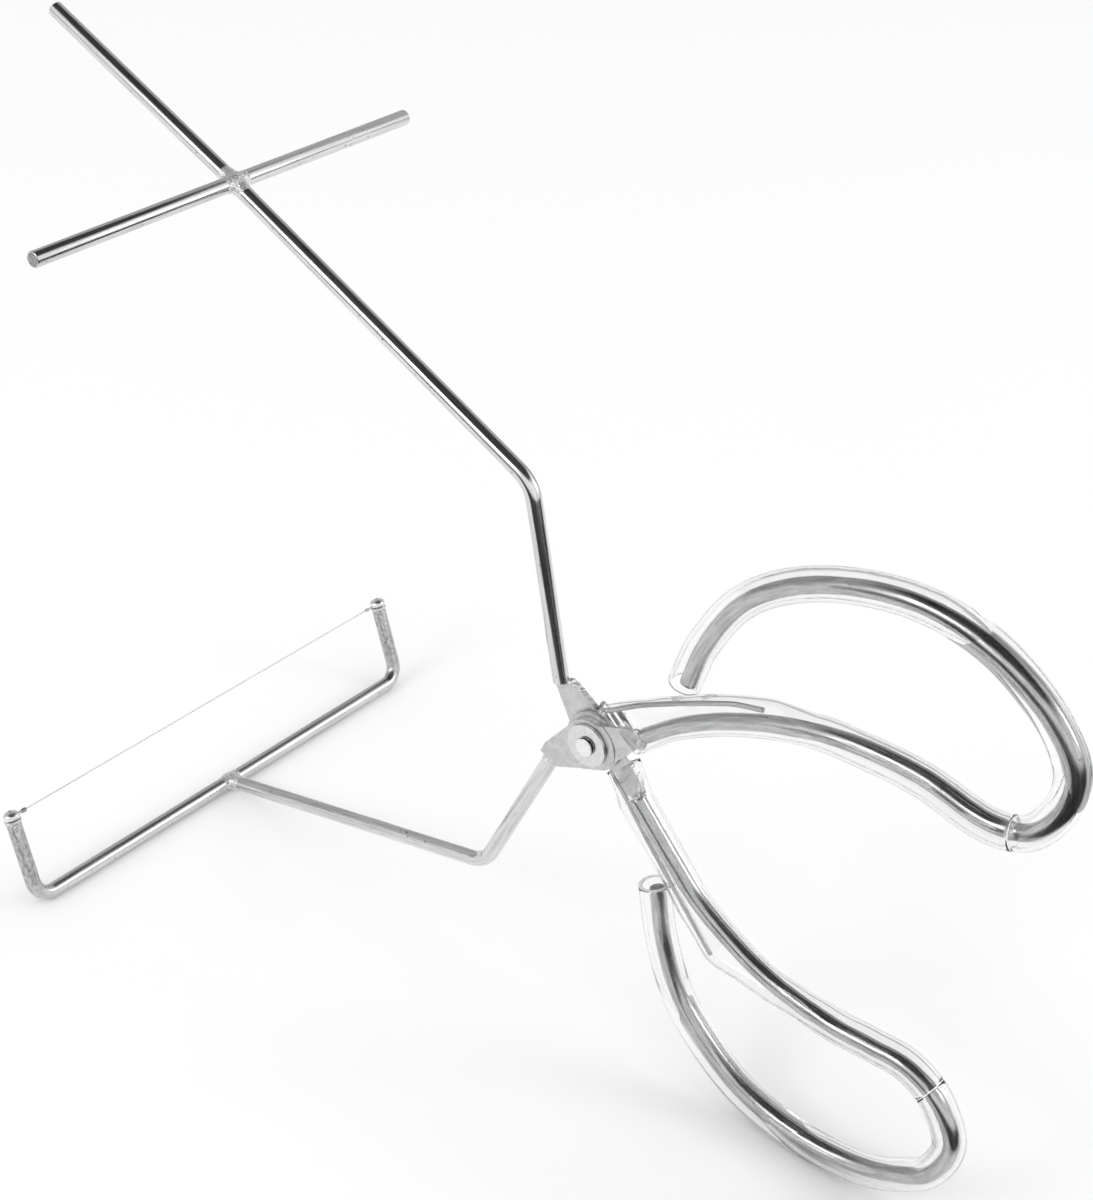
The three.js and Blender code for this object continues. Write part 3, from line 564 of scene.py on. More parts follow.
# Painted shade: a darker copy of the rod steel for the finger loops' rods, which lie inside the clear tubes
SHADED_LOOP_STEEL = metal("loop_steel_painted_shade", 0.3, 0.62, 0.22, pits=0.5, smudges=(0.9, 0.09, 0.9), **DRAWN)
SPRING_STEEL = metal("spring_steel", 0.34, 0.6, 0.28, pits=0.3, **DRAWN)
PLATE_STEEL = metal("plate_steel", 0.46, 0.68, 0.4, grain=0.012, blue=BLUE, pits=0.5, ripple=0.03,
                    smudges=(0.5,) * 3)
EDGE_STEEL = metal("edge_steel", 0.3, 0.8, 0.3, grain=0.06, smudges=(2.6, 0.25, 2.6))
WELD_STEEL = metal("weld_steel", 0.46, 1, 0.36, grain=0.04, pits=0.9, ripple=0.6, smudges=(1.1,) * 3,
                   bright=0.8)
FASTENER_STEEL = metal("fastener_steel", 0.58, 0.78, 0.22, grain=0.006, blue=BLUE, pits=0.2)
HEAD_STEEL = metal("head_steel", 0.7, 0.98, 0.3, grain=0.02, pits=0.3, ripple=0.05, smudges=(1.5,) * 3)
CUT_STEEL = metal("cut_steel", 0.12, 0.5, 0.45, grain=0.02, ripple=0.08, smudges=(1.2,) * 3)
# Painted shade: near-black steel for the rivet's side walls, standing in for the dark crescent of shadow
# beside its heads
SHADED_WALL_STEEL = metal("wall_painted_shade", 0.015, 0.07, 0.4, grain=0.02)
WIRE_STEEL = metal("wire_steel", 0.6, 0.8, 0.3, grain=0.002)
CLEAR_TUBE = clear_tube()
CUT_TUBE = cut_tube("cut_tube", 0)
# Painted light: the cut where two lengths of tube meet glows a little, in place of light the tube's wall
# would carry to it
JOINED_TUBE_GLOW = cut_tube("joined_tube_painted_glow", 0.7)


# Rods

def rod_through(corners, bend):
    """A disc of rod, extruded along each straight stretch and spun round each bend."""
    direction = (corners[1] - corners[0]).normalized()
    piece = add_shape(bpy.ops.mesh.primitive_circle_add, along=direction, vertices=40, radius=ROD,
                      fill_type="NGON", location=corners[0])
    edit_all(piece)
    place_now = corners[0]
    for before, corner, after in zip(corners, corners[1:], corners[2:]):
        inward, outward = (corner - before).normalized(), (after - corner).normalized()
        turn = inward.angle(outward)
        axis = inward.cross(outward).normalized()
        start = corner - inward * bend * math.tan(turn / 2)
        extrude(start - place_now)
        centre = start + axis.cross(inward) * bend
        bpy.ops.mesh.spin(steps=max(int(math.degrees(turn) / 3), 4), angle=-turn, center=centre, axis=axis)
        place_now = corner + outward * bend * math.tan(turn / 2)
    extrude(corners[-1] - place_now)
    edit_all(piece)
    bpy.ops.mesh.remove_doubles(threshold=1e-6)
    turn_faces_out(piece)
    return piece


def make_rod(name, corners, bend, body, up, ends=(True, True), steel=ROD_STEEL):
    """A bent rod. ends says which of its ends are cut ones, and up which way its texture starts."""
    piece = rod_through(corners, bend)
    tips = [point for point, cut in zip((corners[0], corners[-1]), ends) if cut]
    if tips:
        bevel_edges(piece, 0.35 * MM, 3, lambda edge: sharp(edge, 60) and any(
            (vert.co - tip).length < ROD * 1.05 for vert in edge.verts for tip in tips))
    smooth(piece)
    route = Route(bent_points(corners, bend))
    unroll(piece, route, ROD, up)
    dress(piece, name, body, "rod_steel", steel, name)
    both = (route.at(0), route.at(route.length))
    paint_ends(piece, [end for end, cut in zip(both, ends) if cut], CUT_STEEL)


def toward(start, end, distance):
    return start + (end - start).normalized() * distance


WELD_DEPTH = 1.2 * MM
ONE_CUT = (True, False)
make_rod("cross_jaw_rod", [cross_start, cross_corner, toward(cross_centre, cross_corner, WELD_DEPTH)],
         ROD_BEND, "cross_half", FRONT, ONE_CUT)
make_rod("cross_tip_rod", [cross_tip, toward(cross_centre, cross_tip, WELD_DEPTH)], 0,
         "cross_half", FRONT, ONE_CUT)
make_rod("cross_bar", [cross_bar_front, cross_bar_back], 0, "cross_half", heading(0))
make_rod("bow_jaw_rod", [bow_start, bow_corner, toward(bow_centre, bow_corner, WELD_DEPTH)],
         ROD_BEND, "bow_half", BACK, ONE_CUT)
make_rod("bow_frame", [seat_front, bow_front, bow_back, seat_back], BOW_BEND, "bow_half", bow_normal,
         steel=BOW_STEEL)


def ring(centre, side, lift, radius, sides):
    """Points round a centre, from side toward lift."""
    return [centre + (side * math.cos(a) + lift * math.sin(a)) * radius
            for a in (math.tau * index / sides for index in range(sides))]


def spread(low, high, step):
    """Even distances from low to high, about a step apart."""
    count = max(int((high - low) / step), 1)
    return [low + (high - low) * index / count for index in range(count + 1)]


LOOP_SIDES = 36
HAND_WANDER = 0.06 * MM


def loop_rod(name, route, body, up):
    """The finger loop's rod, its cut ends broken slightly, bent by hand and so never quite even."""
    edge = 0.35 * MM
    distances = [0, 0.1 * MM, edge, *spread(1 * MM, route.length - 1 * MM, 1.4 * MM),
                 route.length - edge, route.length - 0.1 * MM, route.length]
    rings = []
    for distance in distances:
        point, tangent = route.at(distance)
        side = up.cross(tangent).normalized()
        near = min(distance, route.length - distance)
        radius = ROD - (edge - math.sqrt(max(edge ** 2 - (edge - near) ** 2, 0)) if near < edge else 0)
        wander = side * noise.noise(point * 28) * HAND_WANDER
        rings.append(ring(point + wander, side, up, radius, LOOP_SIDES))
    piece = lattice(name, rings)
    smooth(piece)
    unroll(piece, route, ROD, up)
    # The loop's rod takes the darker copy of the rod steel, painted shade for its place inside the tube
    dress(piece, name, body, "rod_steel", SHADED_LOOP_STEEL, name)
    paint_ends(piece, [route.at(0), route.at(route.length)], CUT_STEEL)


loop_rod("upper_loop_rod", upper_route, "bow_half", FRONT)
loop_rod("lower_loop_rod", lower_route, "cross_half", BACK)


# Welds

def placed(centre, along, across, width, breadth, height):
    """A flattened ball's placing: width along, breadth across, height square to both, in millimetres."""
    third = along.cross(across).normalized()
    axes = [[along[i] * width, across[i] * breadth, third[i] * height] for i in range(3)]
    return Matrix.Translation(centre) @ (Matrix(axes) * MM).to_4x4()


STUB_TIP = ROD * 0.985
WELD_REACH = 6.5 * MM


def make_weld(name, centre, stubs, lumps, body, *nodes):
    """Weld metal run into the corners between rods: stubs of (direction, length, radius) and lumps,
    fused, softened and roughened."""
    parts = [add_shape(bpy.ops.mesh.primitive_uv_sphere_add, placing, segments=32, ring_count=20, radius=1)
             for placing in lumps]
    for direction, length, radius in stubs:
        parts.append(add_shape(bpy.ops.mesh.primitive_cone_add, along=direction, vertices=40,
                               radius1=radius * MM, radius2=STUB_TIP, depth=length * MM,
                               location=centre + direction * length * MM / 2))
    pick(*parts)
    bpy.ops.object.join()
    piece = parts[0]
    apply_modifier(piece, "REMESH", mode="VOXEL", voxel_size=0.28 * MM)
    apply_modifier(piece, "SMOOTH", factor=0.6, iterations=5)
    for vert in piece.data.vertices:
        out = vert.co - centre
        rise = noise.noise(vert.co * 420) * 0.26 + noise.noise(vert.co * 1000) * 0.3
        fade = max(0, 1 - out.length / WELD_REACH)
        vert.co += out.normalized() * rise * fade * MM
        vert.co.z = max(vert.co.z, 0)
    smooth(piece, 60)
    dress(piece, name, body, "weld_steel", WELD_STEEL, *nodes)


jaw_back = (cross_corner - cross_centre).normalized()
tip_out = (cross_tip - cross_centre).normalized()
make_weld("cross_weld", cross_centre,
          [(jaw_back, 6, 2.95), (tip_out, 5.6, 2.95), (FRONT, 5.2, 2.95), (BACK, 5.2, 2.95)],
          [placed(cross_centre, jaw_back, BACK, 3.9, 3.9, 3.15)], "cross_half", "cross_weld")
bow_back_way = (bow_corner - bow_centre).normalized()
make_weld("bow_weld", bow_centre,
          [(bow_back_way, 6.4, 3), (FRONT, 4.6, 2.8), (BACK, 4.6, 2.8)],
          [placed(bow_centre, bow_back_way, BACK, 3.6, 3.7, 2.75)], "bow_half", "bow_weld")


def plate_bead(name, way, balls, body):
    """A bead that holds the end of a rod to its plate: balls of (x, y, z, along, across, deep)."""
    make_weld(name, place(*balls[0][:3]), [],
              [placed(place(*ball[:3]), way, way.cross(BACK), *ball[3:]) for ball in balls], body)


upper_start, upper_way = upper_route.at(0)
lower_start, lower_way = lower_route.at(0)
cross_way = heading(CROSS_JAW_RISE[0])
bow_way = heading(BOW_JAW_DROP[0])
plate_bead("cross_jaw_bead", cross_way,
           [(-14.4, 0.3, 13.8, 0.9, 2.4, 2.1), (-12, 1.7, 14.5, 1.2, 1.3, 1.5),
            (-10, 1.8, 14.2, 0.9, 1.3, 1.4), (-8.2, 1.8, 13.5, 0.7, 1.2, 1.3)], "cross_half")
plate_bead("bow_jaw_bead", bow_way, [(-14.4, -0.3, -15, 2.3, 2.7, 2.5)], "bow_half")
plate_bead("upper_loop_bead", upper_way, [(16.4, -1.6, 10.9, 2.8, 3.4, 1.5)], "bow_half")
plate_bead("lower_loop_bead", lower_way, [(18.3, 0.6, -12.1, 1.6, 2.7, 2.2)], "cross_half")


# Pivot plates

PLATE_NEAR = 0.8
PLATE_FAR = 2.8
HUB = 8.3
BOSS = 9.7
RIVET_HOLE = 2.3
JAW_ARM = 7
LOOP_ARM = 4


def prism(corners, low, high):
    """A flat plate piece between two depths, from its corners seen from the front."""
    piece = add_shape(bpy.ops.mesh.primitive_circle_add, vertices=len(corners), radius=0.01,
                      fill_type="NGON")
    middle = sum((Vector(c) for c in corners), Vector((0, 0))) / len(corners)
    outline = sorted(corners, key=lambda c: math.atan2(c[1] - middle.y, c[0] - middle.x))
    order = sorted(piece.data.vertices, key=lambda v: math.atan2(v.co.y, v.co.x))
    for vert, (x, z) in zip(order, outline):
        vert.co = place(x, low, z)
    edit_all(piece)
    extrude((0, (high - low) * MM, 0))
    turn_faces_out(piece)
    return piece


def rod_end(route_start, direction, width):
    """The two corners of a plate's arm where it meets the end of a rod."""
    middle = (route_start - PIVOT) / MM - direction * 0.05
    side = Vector((-direction.z, 0, direction.x))
    return [(middle.x + side.x * way * width / 2, middle.z + side.z * way * width / 2) for way in (1, -1)]


def plate_blank(arms, low, high):
    """The hub of a plate with its arms, each a list of corners."""
    piece = add_cylinder(PIVOT, BACK, HUB, low, high, 72)
    for corners in arms:
        combine(piece, prism(corners, low, high), "UNION")
    return piece


def make_plate(name, arms, depths, body, pad=None):
    """A hub with two arms, its edges broken. pad is how far a round boss stands forward."""
    piece = plate_blank(arms, *depths)
    if pad:
        boss = plate_blank(arms, depths[0] - pad, depths[1] - 0.5)
        combine(boss, add_cylinder(PIVOT, BACK, BOSS, -8, 0, 72), "INTERSECT")
        combine(piece, boss, "UNION")
    edit_all(piece)
    bpy.ops.mesh.dissolve_limited(angle_limit=math.radians(0.5))
    combine(piece, add_cylinder(PIVOT, BACK, RIVET_HOLE, -6, 6), "DIFFERENCE")
    break_edges(piece, 0.25)
    dress(piece, name, body, "plate_steel", PLATE_STEEL, name)
    paint_where(piece, EDGE_STEEL, lambda face: abs(face.normal.y) < 0.3)


make_plate("front_plate", [
    [(-15.6, -8), (-6, 5.7), (5, -6.6), *rod_end(bow_start, bow_way, JAW_ARM)],
    [(2, 8.1), (11.4, 12.3), (12.4, 1.8), (7.4, -3.8), *rod_end(upper_start, upper_way, LOOP_ARM)],
], (-PLATE_FAR, -PLATE_NEAR), "bow_half", pad=0.3)
make_plate("back_plate", [
    [(-8, 13.6), (1.3, 8.7), (-7.9, -2.4), *rod_end(cross_start, cross_way, JAW_ARM)],
    [(5.4, -6.3), (13.6, -13.2), (17.2, -5.6), (7.9, 2.6), *rod_end(lower_start, lower_way, LOOP_ARM)],
], (PLATE_NEAR, PLATE_FAR), "cross_half")


# Round pieces at the pivot

def washer(name, at, along, radius, bore, low, high, edge=0.16, slot="fastener_steel",
           material=FASTENER_STEEL):
    """A ring from low to high along its axis, its edges broken."""
    piece = add_cylinder(at, along, radius, low, high, 72)
    combine(piece, add_cylinder(at, along, bore, low - 1, high + 1), "DIFFERENCE")
    break_edges(piece, edge)
    dress(piece, name, "bow_half", slot, material, name)


WASHER_FRONT = 4.2
HEAD_FRONT = 5.3
washer("pivot_spacer", PIVOT, BACK, BOSS, RIVET_HOLE, -0.7, 0.7, slot="plate_steel", material=PLATE_STEEL)
washer("front_washer", PIVOT, FRONT, 7, RIVET_HOLE, WASHER_FRONT - 1, WASHER_FRONT, 0.24)
COIL_BACK = (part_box("back_washer")[0][1] - PIVOT.y) / MM
washer("back_washer", PIVOT, BACK, 5.8, RIVET_HOLE, COIL_BACK, COIL_BACK + 1)


def make_rivet():
    """The rivet: its made head at the front, stepped slightly, and its closed one at the back."""
    tail = (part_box("pivot_rivet")[1][1] - PIVOT.y) / MM
    piece = add_cylinder(PIVOT, BACK, 2.2, -4.5, tail - 1)
    combine(piece, add_cylinder(PIVOT, FRONT, 3, 4.3, HEAD_FRONT, 64), "UNION")
    combine(piece, add_cylinder(PIVOT, BACK, 3.4, tail - 1.2, tail, 64), "UNION")
    front_face = PIVOT + FRONT * HEAD_FRONT * MM
    select_where(piece, "faces", lambda face: (face.calc_center_median() - front_face).length < 0.2 * MM
                 and abs(face.normal.dot(FRONT)) > 0.99)
    for inset, rise in ((0.8, 0.1), (0.9, 0.05), (0.8, 0.02)):
        bpy.ops.mesh.inset(thickness=inset * MM)
        bpy.ops.transform.translate(value=FRONT * rise * MM)
    break_edges(piece, 0.28)
    dress(piece, "pivot_rivet", "bow_half", "fastener_steel", HEAD_STEEL, "pivot_rivet")
    # Painted shade: the faces round the rivet's sides take the near-black steel
    paint_where(piece, SHADED_WALL_STEEL, lambda face: abs(face.normal.y) < 0.5)


make_rivet()


# Screws, washers and cutting wire on the bow

HEAD_FOOT = 1.75
HEAD_HEIGHT = 2.5
HEAD_RIM = 0.3 * HEAD_HEIGHT
HEAD_RADIUS = 2.9
SHANK = 1.2
RECESS = (2.8, 0.65, 2)
RECESS_TAPER = 0.45


def cut_recess(piece, top, degrees):
    """One slot of the cross recess, narrower at its foot."""
    blade = Matrix.Rotation(math.radians(degrees), 3, LEG) @ LEG.orthogonal().normalized()
    axes = [axis * size * MM for axis, size in zip((blade, LEG.cross(blade), LEG), RECESS)]
    placing = Matrix.Translation(top) @ Matrix(axes).transposed().to_4x4()
    slot = add_shape(bpy.ops.mesh.primitive_cube_add, placing, size=1)
    for vert in slot.data.vertices:
        depth = (vert.co - top).dot(LEG)
        if depth < 0:
            vert.co -= (vert.co - top - LEG * depth) * RECESS_TAPER
    turn_faces_out(slot)
    combine(piece, slot, "DIFFERENCE")


def make_screw(name, seat, turn):
    """A domed head with a cross recess, on its shank."""
    foot = seat + LEG * HEAD_FOOT * MM
    rim = foot + LEG * HEAD_RIM * MM
    placing = (Matrix.Translation(rim) @ LEG.to_track_quat("Z", "Y").to_matrix().to_4x4()
               @ Matrix.Diagonal((1, 1, (HEAD_HEIGHT - HEAD_RIM) / HEAD_RADIUS, 1)))
    piece = add_shape(bpy.ops.mesh.primitive_uv_sphere_add, placing, segments=48, ring_count=32,
                      radius=HEAD_RADIUS * MM)
    edit_all(piece)
    bpy.ops.mesh.bisect(plane_co=rim, plane_no=LEG, use_fill=True, clear_inner=True)
    select_where(piece, "faces", lambda face: face.normal.dot(LEG) < -0.95
                 and abs((face.calc_center_median() - rim).dot(LEG)) < 0.05 * MM)
    extrude(foot - rim)
    combine(piece, add_cylinder(seat, LEG, SHANK, -6, HEAD_FOOT + 0.4, 32), "UNION")
    for quarter in (0, 90):
        cut_recess(piece, foot + LEG * HEAD_HEIGHT * MM, quarter + turn)
    bevel_edges(piece, 0.1 * MM, 2, lambda edge: sharp(edge, 48))
    smooth(piece, 40)
    dress(piece, name, "bow_half", "fastener_steel", HEAD_STEEL, name)


for end, seat, turn in (("front", seat_front, 25), ("back", seat_back, 60)):
    make_screw(f"{end}_wire_screw", seat, turn)
    washer(f"{end}_screw_washer", seat, LEG, 2.85, 1.4, 0.15, 1.05, 0.12)

WIRE = 0.2 * MM
WIRE_LEVEL = LEG * 1.4 * MM
HOOK = (SHANK + 0.15) * MM + WIRE


def sweep_line(name, points, radius, sides):
    """A round wire along points in space, turned as little as possible from one to the next."""
    rings = []
    side = Vector((0.3, 1, 0.2))
    for index, point in enumerate(points):
        tangent = (points[min(index + 1, len(points) - 1)] - points[max(index - 1, 0)]).normalized()
        side = (side - tangent * side.dot(tangent)).normalized()
        rings.append(ring(point, side, tangent.cross(side), radius, sides))
    return lattice(name, rings)


def hook_points(seat, start, stop, steps=36):
    """The wire's way round a screw, between two angles in degrees."""
    return [seat + WIRE_LEVEL + (bow_normal * math.cos(a) + BACK * math.sin(a)) * HOOK
            for a in (math.radians(start + (stop - start) * step / steps) for step in range(steps + 1))]


def twist_points(seat, way, turns=4.5, start=3.4, pitch=0.42):
    """The wire's tail wound round the wire beside the screw."""
    line = seat + WIRE_LEVEL + bow_normal * HOOK
    steps = int(turns * 14)
    return [line + BACK * way * (start + pitch * turn) * MM
            + (bow_normal * math.cos(math.tau * turn) + LEG * math.sin(math.tau * turn)) * WIRE * 2.1
            for turn in (turns * step / steps for step in range(steps + 1))]


def make_cutting_wire():
    points = hook_points(seat_front, -290, 0) + hook_points(seat_back, 0, 290)
    piece = sweep_line("cutting_wire", points, WIRE, 10)
    tails = [sweep_line("tail", twist_points(seat, way), WIRE * 0.9, 8)
             for seat, way in ((seat_front, 1), (seat_back, -1))]
    pick(piece, *tails)
    bpy.ops.object.join()
    smooth(piece, 60)
    dress(piece, "cutting_wire", "bow_half", "fastener_steel", WIRE_STEEL, "cutting_wire")


make_cutting_wire()


def make_crimp():
    """A bead squeezed onto the wire: a short sleeve with rounded ends."""
    line = seat_front + WIRE_LEVEL + bow_normal * HOOK
    piece = add_cylinder(line, BACK, 0.75, 5.2, 6.9, 32)
    combine(piece, add_cylinder(line, BACK, 0.3, 4, 8, 16), "DIFFERENCE")
    bevel_edges(piece, 0.3 * MM, 4, lambda edge: sharp(edge, 60)
                and all((vert.co - line).cross(BACK).length > 0.6 * MM for vert in edge.verts))
    smooth(piece, 50)
    dress(piece, "wire_crimp", "bow_half", "fastener_steel", CUT_STEEL, "wire_crimp")


make_crimp()


# Spring

SPRING_WIRE = 0.8 * MM
SPRING_RADIUS = 5.2
SPRING_PITCH = 2.05
SPRING_FRONT = PLATE_FAR + 0.3 + SPRING_WIRE / MM
SPRING_TURNS = 2
UPPER_LEG_EXIT = (-1, 11.2)
UPPER_LEG = [
    (-0.3, 2, 12), (1.8, 0.1, 12.7), (4.4, -0.4, 14.1), (13.5, 0, 20.6),
    (26.9, 0, 28.8), (39.7, 0, 35.9), (44.9, 0, 38.5), (54.3, 0, 41.6),
]
LOWER_LEG_EXIT = (3.2, -7.1)
LOWER_LEG = [
    (5.1, 3.9, -8.2), (6.6, 2.5, -9.4), (15.4, 1, -16.3),
    (23.3, 0.2, -23.5), (35.6, 0, -35.3), (52.4, 0, -51.8),
]


def spring_points():
    """The spring's line: the upper leg, the coil from front to back, the lower leg."""
    def touch(x, z, way):
        return math.atan2(z, x) + way * math.acos(SPRING_RADIUS / math.hypot(x, z))
    start = touch(*UPPER_LEG_EXIT, 1)
    turns = SPRING_TURNS + ((start - touch(*LOWER_LEG_EXIT, -1)) % math.tau) / math.tau
    steps = int(turns * 40)
    coil = []
    for step in range(steps + 1):
        angle = start - turns * math.tau * step / steps
        depth = SPRING_FRONT + SPRING_PITCH * turns * step / steps
        coil.append(place(SPRING_RADIUS * math.cos(angle), depth, SPRING_RADIUS * math.sin(angle)))
    upper = [place(*point) for point in reversed(UPPER_LEG)]
    upper.append(place(UPPER_LEG_EXIT[0], SPRING_FRONT, UPPER_LEG_EXIT[1]))
    lower = [place(LOWER_LEG_EXIT[0], SPRING_FRONT + SPRING_PITCH * turns, LOWER_LEG_EXIT[1])]
    lower += [place(*point) for point in LOWER_LEG]
    before = spline_points([*upper, coil[0], coil[4]], 0.7 * MM)
    after = spline_points([coil[-5], coil[-1], *lower], 0.7 * MM)
    before = before[:min(range(len(before)), key=lambda i: (before[i] - coil[0]).length)]
    after = after[min(range(len(after)), key=lambda i: (after[i] - coil[-1]).length) + 1:]
    return before + coil + after


def make_spring():
    points = spring_points()
    piece = sweep_line("pivot_spring", points, SPRING_WIRE, 16)
    select_where(piece, "edges", lambda edge: sharp(edge, 60))
    bpy.ops.mesh.bevel(offset=0.15 * MM, segments=2, affect="EDGES")
    smooth(piece, 50)
    unroll(piece, Route(points), SPRING_WIRE)
    piece.data.materials.clear()
    piece.data.materials.append(SPRING_STEEL)
    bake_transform(piece)
    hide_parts("pivot_spring")


make_spring()


# Clear tube over the loops

SLACK = 0.3
WALL = 1.2
DRAWN_WALL = 0.8
BESIDE_ROD = ROD / MM + SLACK + DRAWN_WALL
LEG_ROOM = 2 * SPRING_WIRE / MM + SLACK
TUBE_RADIUS = 5
PLAY = TUBE_RADIUS - WALL - ROD / MM - SLACK
CLING_RADIUS = 2.4


def section(half, wall, across=0):
    """The tube's half width and wall, and how far its middle lies off the rod's."""
    return {"across": across, "across_high": across, "half": half, "wall": wall, "slant": 0}


MOUTH = section(1.8, 0.5, 1.95)
THROAT = section(BESIDE_ROD + SLACK, DRAWN_WALL, 0.1)
SNUG = section(BESIDE_ROD, DRAWN_WALL)
ROUND = section(TUBE_RADIUS, WALL)


def key(base, along, low, high, **changes):
    """The tube's size at one distance along its route: its reach to each side, and what differs."""
    return {**base, "along": along, "low": low, "high": high, **changes}


def stretched(along, off, far):
    """Where the tube holds the rod and a spring leg: room on the outer side, reach on the leg's side."""
    return key(SNUG, along, -BESIDE_ROD - off, far + LEG_ROOM)


def round_key(along, share):
    """Where the tube is round, and lies off the rod by a share of its play."""
    return key(ROUND, along, share * PLAY - TUBE_RADIUS, share * PLAY + TUBE_RADIUS)


UPPER_TUBE = [
    key(MOUTH, -6.5, -4.4, 10.9 + LEG_ROOM, across_high=0.35, slant=0.37),
    key(MOUTH, -4.5, -4.4, 10.5 + LEG_ROOM, across_high=0.35, slant=0.3),
    key(THROAT, -0.8, -BESIDE_ROD - 1.2, 9.9 + LEG_ROOM),
    stretched(9, 0.4, 8.2), stretched(19, 0.8, 6.8), stretched(28, 1, 6.4), stretched(48, 1.1, 5.9),
    round_key(64, 0.2), round_key(80, -0.95), round_key(120, -0.95), round_key(145, 0.75),
    round_key(165, 0.75), round_key(200, -0.3), round_key(280, -0.4), round_key(320, -0.95),
]
LOWER_TUBE = [
    key(MOUTH, -10.4, -6.9, 7 + LEG_ROOM, across_high=3.1),
    key(MOUTH, -4.5, -5.6, 6.4 + LEG_ROOM),
    key(THROAT, -0.8, -BESIDE_ROD - 1.6, 5.7 + LEG_ROOM),
    stretched(20, 1.3, 5.2), stretched(28, 1, 5.9), stretched(39.5, 0.3, 7.9), stretched(51, 0.2, 11.2),
    stretched(54, 0.2, 9.8), stretched(60, 0.1, 7), stretched(68, 0.2, 5.4), stretched(78, 1.2, 3.5),
    round_key(88, -0.4), round_key(100, -0.9), round_key(115, -0.8), round_key(138, 0.75),
    round_key(155, 0.75), round_key(185, -0.9), round_key(235, -0.9), round_key(270, -0.4),
    round_key(300, -0.95),
]


def ramp(value, low, high):
    """0 up to low, 1 from high, smooth between."""
    share = min(max((value - low) / (high - low), 0), 1)
    return share * share * (3 - 2 * share)


def fit_at(keys, distance):
    """The tube's size at a distance in millimetres, smooth from one key to the next."""
    if distance <= keys[0]["along"]:
        return keys[0]
    for before, after in zip(keys, keys[1:]):
        if distance < after["along"]:
            share = ramp(distance, before["along"], after["along"])
            return {name: before[name] + (after[name] - before[name]) * share for name in before}
    return keys[-1]


def soft_fit(keys, distance):
    """fit_at evened out over a few millimetres, as stretched tube is."""
    fits = [fit_at(keys, distance + step) for step in (-2.4, -1.2, 0, 1.2, 2.4)]
    return {name: sum(fit[name] for fit in fits) / len(fits) for name in fits[0]}


def tube_ring(point, tangent, side, up, fit, wall):
    """A ring of the tube, wall deep under its surface: round, or drawn out over the spring's leg."""
    half = fit["half"] - wall
    centre = (fit["high"] + fit["low"]) / 2
    flat = (fit["high"] - fit["low"]) / 2 - fit["half"]
    ring = []
    for step in range(TUBE_SIDES):
        angle = math.tau * (step + 0.5) / TUBE_SIDES
        place_on = math.tanh(3.2 * math.cos(angle) / max(0.35, min(1.2, 2.2 / max(flat, 0.1))))
        inward = centre + place_on * flat + half * math.cos(angle)
        high_share = min(max(place_on * 0.5 + 0.5, 0), 1)
        across = fit["across"] + (fit["across_high"] - fit["across"]) * high_share
        thin = 1 - 0.18 * high_share * min(flat / 3, 1)
        across += half * thin * math.sin(angle)
        back = fit["slant"] * (inward - centre)
        ring.append(point + (side * inward + up * across - tangent * back) * MM)
    return ring


def cling_ring(bore, point, side, up, reach):
    """Draws the bore in by up to a distance, as far as a ring just under the rod's surface."""
    drawn = []
    for spot in bore:
        spoke = spot - point
        flat = side * spoke.dot(side) + up * spoke.dot(up)
        pull = min(max(flat.length - CLING_RADIUS * MM, 0), reach * MM)
        drawn.append(spot - flat.normalized() * pull)
    return drawn


LIP = 0.15
JOINT_LIP = 0.06
TUBE_SIDES = 44
TUBE_STEP = 1.3
FULL_HOLD = 3
PAST_ROD = 1.2


def make_tube(name, route, up, keys, low, high, lips, body, held):
    """One length of tube: outer skin out, inner skin back, rounded slightly at both cut ends. held
    is where the soft tube starts and stops clinging to the rod."""
    stations = [low, *spread(low + lips[0], high - lips[1], TUBE_STEP), high]
    outer, inner = [], []
    for distance in stations:
        point, tangent = route.at(distance * MM)
        side = up.cross(tangent).normalized()
        fit = soft_fit(keys, distance) if low + 4 < distance else fit_at(keys, distance)
        lip = {low: lips[0], high: lips[1]}.get(distance, 0)
        outer.append(tube_ring(point, tangent, side, up, fit, lip))
        bore = tube_ring(point, tangent, side, up, fit, fit["wall"] - lip)
        held_here = ramp(distance, held[0], held[1]) * (1 - ramp(distance, held[2], held[3]))
        inner.append(cling_ring(bore, point, side, up, FULL_HOLD * held_here))
    piece = lattice(name, outer + inner[::-1], closed=True)
    smooth(piece, 55)
    unroll(piece, route, TUBE_RADIUS * MM, up)
    dress(piece, name, body, "clear_tube", CLEAR_TUBE, name)
    last = len(stations)
    for cut, lip, rings in ((2 * last - 1, lips[0], (0, 2 * last - 2)),
                            (last - 1, lips[1], (last - 2, last))):
        cut_rings = (cut, *rings) if lip == LIP else (cut,)
        # The cuts at the joint take the glowing material, painted light
        paint_where(piece, CUT_TUBE if lip == LIP else JOINED_TUBE_GLOW,
                    lambda face: face.index // TUBE_SIDES in cut_rings)


def make_tubes(name, route, up, keys, joint, body, held):
    """The two lengths of tube on a loop, cut at the joint."""
    start, end = keys[0]["along"], route.length / MM + PAST_ROD
    for half, low, high, lips in (("inner", start, joint - JOINT_LIP, (LIP, JOINT_LIP)),
                                  ("outer", joint + JOINT_LIP, end, (JOINT_LIP, LIP))):
        make_tube(f"{name}_tube_{half}", route, up, keys, low, high, lips, body, held)


make_tubes("upper", upper_route, FRONT, UPPER_TUBE, 127, "bow_half", (138, 174, 185, 215))
make_tubes("lower", lower_route, BACK, LOWER_TUBE, 124.5, "cross_half", (195, 235, 240, 275))


# Camera, floor and light

